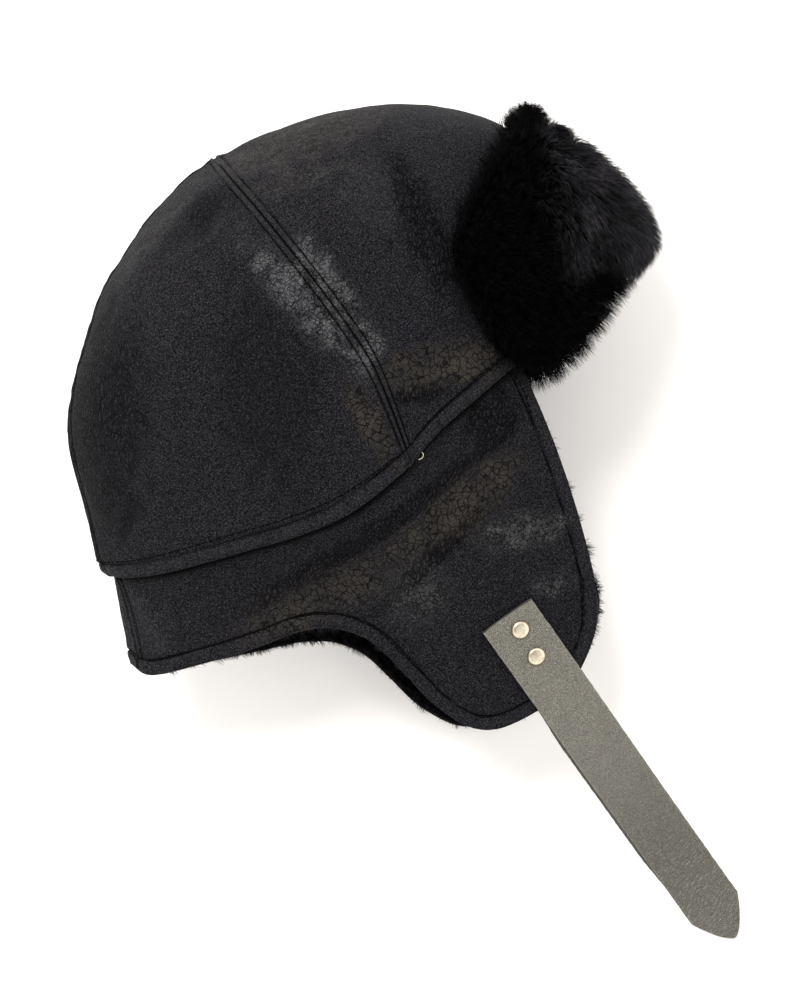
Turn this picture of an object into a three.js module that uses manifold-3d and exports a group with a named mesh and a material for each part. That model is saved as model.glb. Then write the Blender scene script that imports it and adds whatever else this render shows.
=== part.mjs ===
// Aviator hat of black leather with fur trim, lying on its left side, right side up.
// Millimetres: x points to the hat's front, y to the crown's top, z up from the floor.
// An angle in degrees runs round the hat: 0 centre back, 90 right side seam,
// 180 centre front, 270 left side seam.

import * as THREE from 'three';
import { mergeVertices } from 'three/addons/utils/BufferGeometryUtils.js';
import Module from 'manifold-3d';

const wasm = await Module();
wasm.setup();

const { degToRad, lerp, clamp, smoothstep } = THREE.MathUtils;

// Wall sizes
const LEATHER = 1.6;
const HEM_THICKNESS = 3;
const GAP = 0.3;
const FUR_DEPTH = 8;
const STRAP_THICKNESS = 2;
const STRAP_WIDTH = 25.8;

// Heights over the floor: the hat's middle plane, and the softness of the bend where it lies flat
const MIDDLE = 65;
const SETTLE = 5;

// Seams and hems: the hem's folded band and the skirt's tuck as shares of the crown's height
const BACK_SEAM_ANGLE = 8;
const HEM_SHARE = 0.055;
const TUCK_SHARE = 0.045;
const WELT_HEIGHT = 0.8;
const WELT_INNER = 4;
const WELT_OUTER = 8;
const POLE_SHIFT = 0.3;
const POLE_CAP = 0.985;

// The right flap's outer face under the strap is this plane
const FLAP_PLANE = { x: 20, y: -100, z: 104, slopeX: -0.12, slopeY: 0.38 };

// Crown outline at the centre back, from the hem to the pole
const BACK_OUTLINE = table('x y z', [
  [-123.5, -42.6, 65],
  [-123.9, -35.3, 65],
  [-121.4, -26.5, 65],
  [-113.9, -0.3, 65],
  [-104.1, 24.6, 65],
  [-82.9, 48.1, 65],
  [-61.7, 66.4, 65],
  [-33.9, 80.9, 65],
  [-6.1, 90.3, 65],
  [9.4, 91.5, 65],
]);

// Crown outline at the centre front
const FRONT_OUTLINE = table('x y z', [
  [130, -40, 65],
  [134, -25, 65],
  [136, -5, 65],
  [134, 15, 65],
  [126, 42, 65],
  [107.1, 62.2, 65],
  [72.2, 81.2, 65],
  [28.3, 90.8, 65],
  [9.4, 91.5, 65],
]);

// Right side seam
const SIDE_OUTLINE = table('x y z', [
  [17.1, -67.8, 129],
  [21.6, -42, 136],
  [23.8, -21.3, 139],
  [22, 5.2, 139],
  [18.9, 29.8, 135],
  [15, 56.1, 122],
  [11.4, 77.3, 100],
  [9.4, 91.5, 65],
]);

// Hem fold of the crown, on the right side
const HEM = table('angle y z', [
  [0, -42.6, 65],
  [10, -44.8, 75],
  [19, -48.2, 84],
  [29, -53, 94],
  [44, -59.5, 106],
  [56, -65.1, 115],
  [66, -70.3, 121],
  [76, -72.9, 126],
  [87, -69.5, 129],
  [99, -61.8, 127],
  [111, -57.3, 123],
  [125, -52.4, 114],
  [145, -46, 97],
  [180, -40, 65],
]);

// Lower edge of the skirt's right side, then the left side's shift from it and its own height
const EDGE = table('angle x y z leftX leftY leftZ', [
  [0, -133.9, -81.9, 65, 0, 0, 65],
  [12, -127.9, -90.4, 78, 0, 0, 50],
  [25, -105.7, -97, 92, -1, -1, 32],
  [40, -78.9, -103.2, 98, -3, -3, 17],
  [55, -60.6, -106.3, 98, -5, -5, 6],
  [66, -46.9, -112.8, 97, -7, -6, 0],
  [72, -36.6, -125.3, 93, -8, -5, -4],
  [78, -31.5, -142.6, 87, -8, -3, -6],
  [84, -27.3, -161.5, 80, -7, -2, -6],
  [90, -19.4, -178.6, 74, -5, -1, -6],
  [95.5, -8.9, -186.9, 70, -4, 1, -6],
  [102, 7.6, -189.3, 70, -4, 2, -6],
  [109, 26.2, -187.7, 72, -5, 2, -6],
  [115, 40.3, -180.6, 75, -6, 2, -6],
  [120, 53.5, -167.8, 79, -6, 2, -6],
  [124.5, 62.1, -149.9, 84, -6, 1, -5],
]);

// How far the flap's front edge bows forwards, halfway down it
const FRONT_BOW = 3;

// How far the skirt dips inwards halfway between hem and edge
const DIP = table('angle depth', [
  [0, 0],
  [25, 2],
  [60, 4],
  [90, 2],
  [125, 0],
]);

// Dents and folds of the upper side: centre, half length, half width, direction and depth
const FOLDS = table('x y length width direction depth', [
  [-26, -97, 42, 7, 12, 2.6],
  [-14, -84, 40, 6, 10, -1.6],
  [40, -84, 24, 6, 14, 2.4],
  [52, -98, 26, 6, 18, -1.2],
  [-96, -78, 20, 6, -60, 1.8],
  [63, 20, 34, 7, 72, 1.8],
  [56, -32, 14, 8, 20, 1.4],
  [-14, 66, 24, 5, 12, 1.2],
]);

// The dents fade out this far above the middle plane
const FOLD_FADE = 30;

// The turned-up fur flap: its borders on the crown, thickness at fold and crest, and the fold's lift
const VISOR = table('angle bottom top fold crest lift', [
  [116, 0.14, 0.2, 9, 8, 0],
  [117, 0.09, 0.24, 10, 9, 0],
  [119.5, 0.04, 0.28, 12, 10, 0],
  [125, -0.03, 0.31, 15, 11, 0],
  [134, -0.055, 0.335, 20, 11, 1],
  [146, -0.06, 0.355, 27, 11, 6],
  [160, -0.06, 0.365, 35, 11, 14],
  [180, -0.06, 0.37, 40, 11, 18],
]);
const VISOR_KNOB = { x: 135, y: 36, z: 82, radius: 8 };
const VISOR_CLEARANCE = 0.75;
const VISOR_RIM = 1.5;
const VISOR_REACH = 64;
const VISOR_BULGE = 0.85;

// Strap: its upper end on the flap, its far end, and its run down to the floor
const STRAP_START = { x: 20.1, y: -145.5 };
const STRAP_END = { x: 37.8, y: -328.2 };
const STRAP_LEAVES = 47;
const STRAP_LANDS = 150;
const STRAP_TIP = 16.5;
const STRAP_TIP_POWER = 0.65;
const STRAP_ROLL = 7;
const STRAP_ROWS = 26;
const STRAP_CROWDING = 1.12;

// Rivets: distance from the strap's upper end and from its middle line
const RIVETS = table('name along aside', [
  ['rivet_upper', 8.5, -1.2],
  ['rivet_lower', 22.2, -0.2],
]);
const RIVET = { cap: 4, rim: 0.4, rise: 1.5, shank: 1.3, hole: 1.6, back: 3.2, backRise: 1, sides: 16 };
const RIVET_POCKET = { radius: 3.8, depth: 3 };
const BORE = { above: 4, below: 1 };

// Locks of fur: the rim's are narrow, the fur flap's broad and lying
const LOCK = { width: 4.6, sink: 1.6, spacing: 9, length: 3, spread: 2, frontExtra: 2 };
const RIM = { depth: 0.45, frontTop: 0.2, steps: 600 };
const VISOR_LOCK = {
  width: 12, length: 9, spread: 4, lie: 1.7, rows: 6, columns: 12, first: 119, last: 241,
};

// Grid lines: heights on the crown, drops on the skirt, and angles round the hat
const CROWN_ROWS = [0, HEM_SHARE, 0.068, 0.14, 0.22, 0.31, 0.4, 0.5, 0.6, 0.69, 0.78, 0.86, 0.93, 1];
const SKIRT_ROWS = [-1, 0, 0.1, 0.24, 0.4, 0.56, 0.72, 0.87, 1];
const LINING_ROWS = SKIRT_ROWS.slice(2);
const BACK_ANGLES = [8, 14, 22, 31, 40, 49, 58, 67, 75, 82, 86.5, 90];
const FRONT_ANGLES = [90, 93.5, 98, 107, 117, 128, 139, 150, 160, 170, 180];
const SKIRT_ANGLES = [8, 16, 24, 32, 40, 48, 55, 61, 66, 70, 73, 76, 79, 82, 85, 88, 91, 94, 97, 100,
  103, 106, 109, 112, 115, 118, 120.5, 122.5, 124.5];
const SKIRT_INSET = HEM_THICKNESS + 2 * GAP;

function table(columns, rows) {
  const names = columns.split(' ');
  return rows.map((row) => Object.fromEntries(names.map((name, i) => [name, row[i]])));
}

// Smooth value of a table's column at an angle
function valueAt(rows, column, angle) {
  const last = rows.length - 1;
  let i = 0;
  while (i < last - 1 && rows[i + 1].angle < angle) i += 1;
  const slope = (k) => {
    const before = rows[Math.max(k - 1, 0)];
    const after = rows[Math.min(k + 1, last)];
    return (after[column] - before[column]) / (after.angle - before.angle);
  };
  const width = rows[i + 1].angle - rows[i].angle;
  const t = clamp((angle - rows[i].angle) / width, 0, 1);
  return hermite(rows[i][column], rows[i + 1][column], slope(i) * width, slope(i + 1) * width, t);
}

function hermite(from, to, slopeFrom, slopeTo, t) {
  const s = 1 - t;
  const ends = from * s * s * (1 + 2 * t) + to * t * t * (3 - 2 * t);
  return ends + slopeFrom * t * s * s - slopeTo * t * t * s;
}

function outline(rows) {
  const curve = new THREE.CatmullRomCurve3(rows.map((row) => new THREE.Vector3(row.x, row.y, row.z)));
  curve.arcLengthDivisions = 400;
  return curve;
}

const back = outline(BACK_OUTLINE);
const front = outline(FRONT_OUTLINE);
const side = outline(SIDE_OUTLINE);

// An angle folded onto the right side
function rightAngle(angle) {
  const turned = Math.abs(angle) % 360;
  return turned > 180 ? 360 - turned : turned;
}

// What lies on the floor goes flat
function settle(point) {
  if (point.z <= -SETTLE) point.z = 0;
  else if (point.z < SETTLE) point.z = (point.z + SETTLE) ** 2 / (4 * SETTLE);
  return point;
}

// The crown's form before seams and folds: an oval between the side seam and the outline at back or front
function crownForm(angle, height) {
  if (height < 0) {
    const step = 0.02;
    const low = crownForm(angle, 0);
    return low.lerp(crownForm(angle, step), height / step);
  }
  const turn = degToRad(angle);
  const cos = Math.cos(turn);
  const sin = Math.sin(turn);
  const seam = side.getPointAt(height);
  const end = (cos > 0 ? back : front).getPointAt(height);
  const fade = (1 - height) ** 3;
  const hemY = lerp(side.points[0].y, (cos > 0 ? back : front).points[0].y, Math.abs(cos));
  const hemZ = (side.points[0].z - MIDDLE) * Math.abs(sin);
  const right = rightAngle(angle);
  const dropY = (valueAt(HEM, 'y', right) - hemY) * fade;
  const dropZ = (valueAt(HEM, 'z', right) - MIDDLE - hemZ) * fade;
  return new THREE.Vector3(
    lerp(seam.x, end.x, Math.abs(cos)),
    lerp(seam.y, end.y, Math.abs(cos)) + dropY,
    MIDDLE + (seam.z - MIDDLE) * sin + dropZ * Math.sign(sin),
  );
}

// The side seam stands up a little where the seam allowances lie under it
function weltRise(angle, height) {
  const seamAngle = Math.sin(degToRad(angle)) < 0 ? 270 : 90;
  const distance = crownForm(angle, height).distanceTo(crownForm(seamAngle, height));
  return WELT_HEIGHT * (1 - smoothstep(distance, WELT_INNER, WELT_OUTER));
}

// Depth of the upper side's dents and folds at a place
function foldDepth(point) {
  const share = smoothstep(point.z, MIDDLE, MIDDLE + FOLD_FADE);
  return FOLDS.reduce((sum, fold) => {
    const turn = degToRad(fold.direction);
    const dx = point.x - fold.x;
    const dy = point.y - fold.y;
    const lengthwise = (dx * Math.cos(turn) + dy * Math.sin(turn)) / fold.length;
    const crosswise = (dy * Math.cos(turn) - dx * Math.sin(turn)) / fold.width;
    return sum + share * fold.depth * Math.exp(-lengthwise * lengthwise - crosswise * crosswise);
  }, 0);
}

// A surface's outward direction, from small steps of its two parameters
function normalOf(surface, angle, height, sign) {
  const stepAngle = 0.5;
  const stepHeight = 0.01;
  const across = surface(angle + stepAngle, height).sub(surface(angle - stepAngle, height));
  const up = surface(angle, height + stepHeight / 2).sub(surface(angle, height - stepHeight / 2));
  return across.cross(up).multiplyScalar(sign).normalize();
}

function crownNormal(surface, angle, height) {
  if (height > POLE_CAP) return new THREE.Vector3(0, 1, 0);
  return normalOf(surface, angle, height, 1);
}

function crownOuter(angle, height) {
  const point = crownForm(angle, height);
  const normal = crownNormal(crownForm, angle, height);
  return settle(point.addScaledVector(normal, weltRise(angle, height) - foldDepth(point)));
}

function crownInside(angle, height, depth) {
  return crownOuter(angle, height).addScaledVector(crownNormal(crownOuter, angle, height), -depth);
}

// Height of the right flap's plane
function flapPlane(x, y) {
  const { slopeX, slopeY } = FLAP_PLANE;
  return FLAP_PLANE.z + slopeX * (x - FLAP_PLANE.x) + slopeY * (y - FLAP_PLANE.y);
}

function skirtEdge(angle) {
  const right = rightAngle(angle);
  const point = new THREE.Vector3(valueAt(EDGE, 'x', right), valueAt(EDGE, 'y', right), 0);
  if (angle >= 0) return point.setZ(valueAt(EDGE, 'z', right));
  const shift = new THREE.Vector3(valueAt(EDGE, 'leftX', right), valueAt(EDGE, 'leftY', right), 0);
  return point.add(shift).setZ(valueAt(EDGE, 'leftZ', right));
}

// The skirt's outer face: drop 0 at the crown's hem, 1 at its lower edge, and -1 at the tuck inside the crown
function skirtOuter(angle, drop) {
  if (drop < 0) return crownInside(angle, -drop * TUCK_SHARE, SKIRT_INSET);
  const top = crownInside(angle, 0, SKIRT_INSET);
  const edge = skirtEdge(angle);
  const point = top.clone().lerp(edge, drop);
  const right = rightAngle(angle);
  const halfway = 4 * drop * (1 - drop);
  const dip = valueAt(DIP, 'depth', right) * halfway;
  const turn = degToRad(angle);
  point.x += dip * Math.cos(turn) + FRONT_BOW * halfway * smoothstep(right, 100, 124);
  point.z -= dip * Math.sin(turn);
  if (angle > 0) {
    const nearStrap = smoothstep(angle, 84, 95) * (1 - smoothstep(angle, 114, 124));
    const share = smoothstep(drop, 0.15, 0.5) * nearStrap;
    point.z -= foldDepth(point) * smoothstep(drop, 0, 0.15) * (1 - share);
    point.z = lerp(point.z, flapPlane(point.x, point.y), share);
  }
  return settle(point);
}

function skirtInside(angle, drop, depth) {
  const near = clamp(drop, 0.02, 0.985);
  const normal = normalOf(skirtOuter, angle, near, -1);
  return skirtOuter(angle, drop).addScaledVector(normal, -depth);
}

// The fur flap's inner face lies on the crown, its outer face stands off it
function visorHeight(angle, share) {
  const right = rightAngle(angle);
  return lerp(valueAt(VISOR, 'bottom', right), valueAt(VISOR, 'top', right), share);
}

function visorInner(angle, share) {
  const height = visorHeight(angle, share);
  const point = crownForm(angle, height);
  return settle(point.addScaledVector(crownNormal(crownForm, angle, height), VISOR_CLEARANCE));
}

function visorOuter(angle, share) {
  const right = rightAngle(angle);
  const height = visorHeight(angle, share);
  const fold = valueAt(VISOR, 'fold', right);
  const crest = valueAt(VISOR, 'crest', right);
  const endShare = clamp((180 - right) / VISOR_REACH, 0, 1);
  const rounding = Math.sqrt(1 - Math.abs(2 * share - 1) ** 4) * Math.sqrt(1 - endShare ** 10);
  const depth = VISOR_CLEARANCE + VISOR_RIM + lerp(fold, crest, share ** VISOR_BULGE) * rounding;
  const point = crownForm(angle, height);
  point.addScaledVector(crownNormal(crownForm, angle, height), depth);
  point.y += valueAt(VISOR, 'lift', right) * (1 - share) ** 2;
  return settle(point);
}

// A closed wall between two grids of points
function wall(outer, inner) {
  const rows = outer.length - 1;
  const columns = outer[0].length - 1;
  const points = [];
  const quad = (a, b, c, d) => points.push(a, b, c, a, c, d);
  for (let r = 0; r < rows; r += 1) {
    for (let c = 0; c < columns; c += 1) {
      quad(outer[r][c], outer[r][c + 1], outer[r + 1][c + 1], outer[r + 1][c]);
      quad(inner[r][c], inner[r + 1][c], inner[r + 1][c + 1], inner[r][c + 1]);
    }
    quad(outer[r][0], outer[r + 1][0], inner[r + 1][0], inner[r][0]);
    quad(outer[r][columns], inner[r][columns], inner[r + 1][columns], outer[r + 1][columns]);
  }
  for (let c = 0; c < columns; c += 1) {
    quad(outer[0][c], inner[0][c], inner[0][c + 1], outer[0][c + 1]);
    quad(outer[rows][c], outer[rows][c + 1], inner[rows][c + 1], inner[rows][c]);
  }
  return closed(points);
}

// Merged geometry without empty triangles, faces pointing out
function closed(points) {
  const loose = new THREE.BufferGeometry().setFromPoints(points);
  const merged = mergeVertices(loose, 1e-3);
  const corners = Array.from(merged.index.array);
  const kept = [];
  for (let i = 0; i < corners.length; i += 3) {
    const [a, b, c] = corners.slice(i, i + 3);
    if (a !== b && b !== c && c !== a) kept.push(a, b, c);
  }
  merged.setIndex(kept);
  if (volumeOf(merged) < 0) merged.setIndex(kept.reverse());
  return merged;
}

// The corners of a geometry's triangles, in order
function trianglePoints(geometry) {
  return Array.from(geometry.index.array).map((i) => (
    new THREE.Vector3().fromBufferAttribute(geometry.attributes.position, i)));
}

function volumeOf(geometry) {
  const corners = trianglePoints(geometry);
  let sum = 0;
  for (let i = 0; i < corners.length; i += 3) {
    sum += corners[i].dot(corners[i + 1].clone().cross(corners[i + 2])) / 6;
  }
  return sum;
}

function solidOf(geometry) {
  return new wasm.Manifold(new wasm.Mesh({
    numProp: 3,
    vertProperties: new Float32Array(geometry.attributes.position.array),
    triVerts: new Uint32Array(geometry.index.array),
  }));
}

function geometryOf(solid) {
  const mesh = solid.getMesh();
  return new THREE.BufferGeometry()
    .setAttribute('position', new THREE.BufferAttribute(mesh.vertProperties, 3))
    .setIndex(new THREE.BufferAttribute(mesh.triVerts, 1));
}

// One crown panel between two seams, a hair clear of both
function crownPanel(angles, poleX, poleZ) {
  const last = angles.length - 1;
  const poleSide = new THREE.Vector3(poleX, 0, poleZ).setLength(POLE_SHIFT);
  const grid = (depthAt) => CROWN_ROWS.map((height) => angles.map((angle, i) => {
    const depth = depthAt(height);
    const point = depth ? crownInside(angle, height, depth) : crownOuter(angle, height);
    if (height === 1) return point.add(poleSide);
    if (i > 0 && i < last) return point;
    const next = angles[i === 0 ? 1 : last - 1];
    const inwards = crownForm(next, height).sub(crownForm(angle, height));
    return point.addScaledVector(inwards.normalize(), GAP / 2);
  }));
  const thickness = (height) => (height <= HEM_SHARE ? HEM_THICKNESS : LEATHER);
  return wall(grid(() => 0), grid(thickness));
}

// Clear of the seam, which is at the first angle
function offSeam(point, angles, drop, i, clearance) {
  if (i !== 0) return point;
  const below = Math.max(drop, 0);
  const inwards = skirtOuter(angles[1], below).sub(skirtOuter(angles[0], below));
  return point.addScaledVector(inwards.normalize(), clearance);
}

function skirtPanel(angles) {
  const grid = (depth) => SKIRT_ROWS.map((drop) => angles.map((angle, i) => {
    const tucked = () => crownInside(angle, -drop * TUCK_SHARE, SKIRT_INSET + depth);
    const point = drop < 0 ? tucked() : skirtInside(angle, drop, depth);
    return offSeam(point, angles, drop, i, GAP / 2);
  }));
  return wall(grid(0), grid(LEATHER));
}

function liningPad(angles) {
  const grid = (depth) => LINING_ROWS.map((drop) => angles.map((angle, i) => (
    offSeam(skirtInside(angle, drop, depth), angles, drop, i, GAP))));
  return wall(grid(LEATHER + GAP), grid(LEATHER + GAP + FUR_DEPTH));
}

// A lock of fur: a four-sided spike on a base sunk into the pad
function lock(base, direction, outwards, length, width) {
  const across = direction.clone().cross(outwards).setLength(width / 2);
  const over = outwards.clone().setLength(width / 3);
  const foot = base.clone().addScaledVector(direction, -LOCK.sink);
  const feet = [[1, 0], [0, 1], [-1, 0], [0, -1]].map(([a, b]) => (
    foot.clone().addScaledVector(across, a).addScaledVector(over, b)));
  const tip = base.clone().addScaledVector(direction, length);
  const points = [feet[0], feet[1], feet[2], feet[0], feet[2], feet[3]];
  feet.forEach((corner, i) => points.push(corner, tip, feet[(i + 1) % 4]));
  return closed(points.map((point) => point.clone().setZ(Math.max(point.z, 0))));
}

function fused(geometry, locks) {
  return geometryOf(locks.reduce((solid, each) => solid.add(solidOf(each)), solidOf(geometry)));
}

// Varies evenly between 0 and 1 from one lock to the next, without chance
function scatter(i) {
  return (i * 0.618034) % 1;
}

// The lining's rim: along the lower edge to the flap's front corner, then up the flap's front edge
function rimPlace(angles, share) {
  const [first, last] = [angles[0], angles[angles.length - 1]];
  const depth = LEATHER + GAP + FUR_DEPTH * RIM.depth;
  const angle = lerp(first, last, Math.min(share, 1));
  const drop = lerp(1, RIM.frontTop, Math.max(share - 1, 0));
  const base = skirtInside(angle, drop, depth);
  const down = base.clone().sub(skirtInside(angle, drop - 0.04, depth)).normalize();
  const before = skirtInside(angle - Math.sign(last - first), drop, depth);
  const forwards = base.clone().sub(before).normalize();
  const turned = smoothstep(share, 0.94, 1.06);
  const direction = down.lerp(forwards, turned).normalize();
  return { base, direction, outwards: normalOf(skirtOuter, angle, Math.min(drop, 0.98), -1) };
}

function rimLocks(angles) {
  const locks = [];
  let passed = 0;
  let before = rimPlace(angles, 0).base;
  for (let i = 1; i < RIM.steps; i += 1) {
    const share = (2 * i) / RIM.steps;
    const place = rimPlace(angles, share);
    passed += place.base.distanceTo(before);
    before = place.base;
    if (passed < LOCK.spacing) continue;
    passed = 0;
    const length = LOCK.length + LOCK.spread * scatter(locks.length)
      + LOCK.frontExtra * smoothstep(share, 0.9, 1.1);
    locks.push(lock(place.base, place.direction, place.outwards, length, LOCK.width));
  }
  return locks;
}

// Locks over the fur flap, lying towards its fold
function visorLocks() {
  const { rows, columns } = VISOR_LOCK;
  const locks = [];
  for (let r = 0; r < rows; r += 1) {
    for (let c = 0; c < columns; c += 1) {
      const share = (r + 0.5 + 0.5 * scatter(c * 3 + r)) / (rows + 0.5);
      const across = (c + scatter(r * 5 + c)) / columns;
      const angle = lerp(VISOR_LOCK.first, VISOR_LOCK.last, across);
      const base = visorOuter(angle, share);
      const outwards = base.clone().sub(visorInner(angle, share)).normalize();
      const down = visorOuter(angle, Math.max(share - 0.08, 0)).sub(base).normalize();
      const direction = down.multiplyScalar(VISOR_LOCK.lie).add(outwards).normalize();
      const over = outwards.sub(direction.clone().multiplyScalar(outwards.dot(direction)));
      const length = VISOR_LOCK.length + VISOR_LOCK.spread * scatter(r * 7 + c * 2);
      locks.push(lock(base, direction, over, length, VISOR_LOCK.width));
    }
  }
  return locks;
}

function visorPad() {
  const right = [116, 117, 119.5, 123, 128, 134, 141, 149, 158, 169];
  const angles = [...right, 180, ...right.map((angle) => 360 - angle).reverse()];
  const shares = [0, 0.06, 0.16, 0.32, 0.5, 0.68, 0.84, 0.94, 1];
  const grid = (surface) => shares.map((share) => angles.map((angle) => surface(angle, share)));
  return wall(grid(visorOuter), grid(visorInner));
}

// The rounded tuft at the fur flap's upper corner
function visorKnob() {
  const ball = new THREE.SphereGeometry(VISOR_KNOB.radius, 10, 7);
  ball.translate(VISOR_KNOB.x, VISOR_KNOB.y, VISOR_KNOB.z);
  return closed(trianglePoints(ball));
}

// The strap's frame at a distance from its upper end, measured along the floor
const strapRun = new THREE.Vector3(STRAP_END.x - STRAP_START.x, STRAP_END.y - STRAP_START.y, 0);
const strapLength = strapRun.length();
strapRun.normalize();

function strapUnder(along, aside) {
  const cross = new THREE.Vector3(-strapRun.y, strapRun.x, 0).negate();
  const middle = new THREE.Vector3(STRAP_START.x, STRAP_START.y, 0).addScaledVector(strapRun, along);
  const place = middle.clone().addScaledVector(cross, aside);
  const lift = GAP * Math.hypot(1, FLAP_PLANE.slopeX, FLAP_PLANE.slopeY);
  if (along <= STRAP_LEAVES) {
    place.z = flapPlane(place.x, place.y) + lift;
    return place;
  }
  const leaves = middle.clone().addScaledVector(strapRun, STRAP_LEAVES - along);
  const slope = FLAP_PLANE.slopeX * strapRun.x + FLAP_PLANE.slopeY * strapRun.y;
  const span = STRAP_LANDS - STRAP_LEAVES;
  const t = Math.min((along - STRAP_LEAVES) / span, 1);
  const height = hermite(flapPlane(leaves.x, leaves.y) + lift, 0, slope * span, 0, t);
  const crossSlope = FLAP_PLANE.slopeX * cross.x + FLAP_PLANE.slopeY * cross.y;
  const twist = Math.tan(degToRad(STRAP_ROLL)) * 4 * t * (1 - t) * (1 - t);
  const roll = lerp(crossSlope, 0, smoothstep(t, 0, 0.5)) - twist;
  place.z = Math.max(height + roll * aside, 0);
  return place;
}

function strapHalfWidth(along) {
  const fromTip = clamp((strapLength - along) / STRAP_TIP, 0.002, 1);
  return (STRAP_WIDTH / 2) * fromTip ** STRAP_TIP_POWER;
}

function strapGeometry() {
  const sides = [-1, 0, 1];
  const alongs = Array.from({ length: STRAP_ROWS + 1 }, (_, row) => {
    const share = row / STRAP_ROWS;
    return strapLength * (1 - (1 - share) ** STRAP_CROWDING);
  });
  const under = alongs.map((along) => (
    sides.map((at) => strapUnder(along, at * strapHalfWidth(along)))));
  const step = 0.5;
  const top = alongs.map((along) => sides.map((at) => {
    const aside = at * strapHalfWidth(along);
    const here = strapUnder(along, aside);
    const ahead = strapUnder(along + step, aside).sub(strapUnder(along - step, aside));
    const across = strapUnder(along, aside + step).sub(strapUnder(along, aside - step));
    return here.addScaledVector(across.cross(ahead).normalize(), STRAP_THICKNESS);
  }));
  return wall(top, under);
}

// A cylinder across the strap and the flap at a rivet
const flapNormal = new THREE.Vector3(-FLAP_PLANE.slopeX, -FLAP_PLANE.slopeY, 1).normalize();

function acrossFlap(geometry, rivet) {
  const place = strapUnder(rivet.along, rivet.aside).addScaledVector(flapNormal, -GAP);
  geometry.rotateX(Math.PI / 2);
  const up = new THREE.Vector3(0, 0, 1);
  geometry.applyQuaternion(new THREE.Quaternion().setFromUnitVectors(up, flapNormal));
  geometry.translate(place.x, place.y, place.z);
  return closed(trianglePoints(geometry));
}

function rivetBore(rivet, radius, low, high) {
  const bore = new THREE.CylinderGeometry(radius, radius, high - low, RIVET.sides);
  return solidOf(acrossFlap(bore.translate(0, (low + high) / 2, 0), rivet));
}

function bored(geometry, radius, low, high) {
  return geometryOf(RIVETS.reduce((solid, rivet) => (
    solid.subtract(rivetBore(rivet, radius, low, high))), solidOf(geometry)));
}

// A rivet turned from its profile: back cap inside the flap, shank, and domed cap on the strap
function rivetGeometry(rivet) {
  const seat = GAP + STRAP_THICKNESS + GAP;
  const inner = -LEATHER - GAP;
  const dome = [0, 25, 50, 75, 90].map((degrees) => new THREE.Vector2(
    RIVET.cap * Math.cos(degToRad(degrees)),
    seat + RIVET.rim + RIVET.rise * Math.sin(degToRad(degrees)),
  ));
  dome[dome.length - 1].x = 0;
  const profile = [
    new THREE.Vector2(0, inner - RIVET.backRise),
    new THREE.Vector2(RIVET.back, inner - RIVET.backRise),
    new THREE.Vector2(RIVET.back, inner),
    new THREE.Vector2(RIVET.shank, inner),
    new THREE.Vector2(RIVET.shank, seat),
    new THREE.Vector2(RIVET.cap, seat),
    ...dome,
  ];
  return acrossFlap(new THREE.LatheGeometry(profile, RIVET.sides), rivet);
}

function material(color, roughness, metalness) {
  return new THREE.MeshStandardMaterial({ color, roughness, metalness });
}

const leather = material(0x242225, 0.5, 0);
const fur = material(0x08070a, 0.9, 0);
const strapLeather = material(0x8b887c, 0.55, 0);
const brass = material(0xc5b496, 0.4, 1);

const hat = new THREE.Group();

function add(name, geometry, finish) {
  const mesh = new THREE.Mesh(geometry, finish);
  mesh.name = name;
  hat.add(mesh);
}

// The left side's angles: from the seam, past the centre back, and on round the other way
function leftOf(angles) {
  const others = angles.filter((angle) => angle > BACK_SEAM_ANGLE).map((angle) => -angle);
  return [BACK_SEAM_ANGLE, BACK_SEAM_ANGLE / 2, 0, ...others];
}

const leftFrontAngles = FRONT_ANGLES.slice(0, -1).reverse().map((angle) => 360 - angle);
const leftSkirtAngles = leftOf(SKIRT_ANGLES);
const skirtRight = skirtPanel(SKIRT_ANGLES);
const liningRight = fused(liningPad(SKIRT_ANGLES), rimLocks(SKIRT_ANGLES));
const liningLeft = fused(liningPad(leftSkirtAngles), rimLocks(leftSkirtAngles));

add('crown_front', crownPanel([...FRONT_ANGLES, ...leftFrontAngles], 1, 0), leather);
add('crown_back_right', crownPanel(BACK_ANGLES, -0.7, 0.7), leather);
add('crown_back_left', crownPanel(leftOf(BACK_ANGLES), -0.7, -0.7), leather);
add('skirt_right', bored(skirtRight, RIVET.hole, -LEATHER - BORE.below, BORE.above), leather);
add('skirt_left', skirtPanel(leftSkirtAngles), leather);
add('lining_right', bored(liningRight, RIVET_POCKET.radius, -LEATHER - RIVET_POCKET.depth, 0), fur);
add('lining_left', liningLeft, fur);
add('fur_visor', fused(visorPad(), [visorKnob(), ...visorLocks()]), fur);
add('chin_strap', bored(strapGeometry(), RIVET.hole, -BORE.below, BORE.above), strapLeather);
RIVETS.forEach((rivet) => add(rivet.name, rivetGeometry(rivet), brass));

export default hat;
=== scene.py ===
"""Aviator hat of black leather and fur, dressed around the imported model.

Shapes are worked out in millimetres and made in metres. x points to the hat's front, y to the crown's top,
z up from the floor. An angle in degrees runs round the hat: 0 centre back, 90 right side seam,
180 centre front, 270 left side seam.
"""

import math

import bmesh
import bpy
import numpy as np
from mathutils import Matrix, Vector, kdtree
from mathutils.bvhtree import BVHTree


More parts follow.
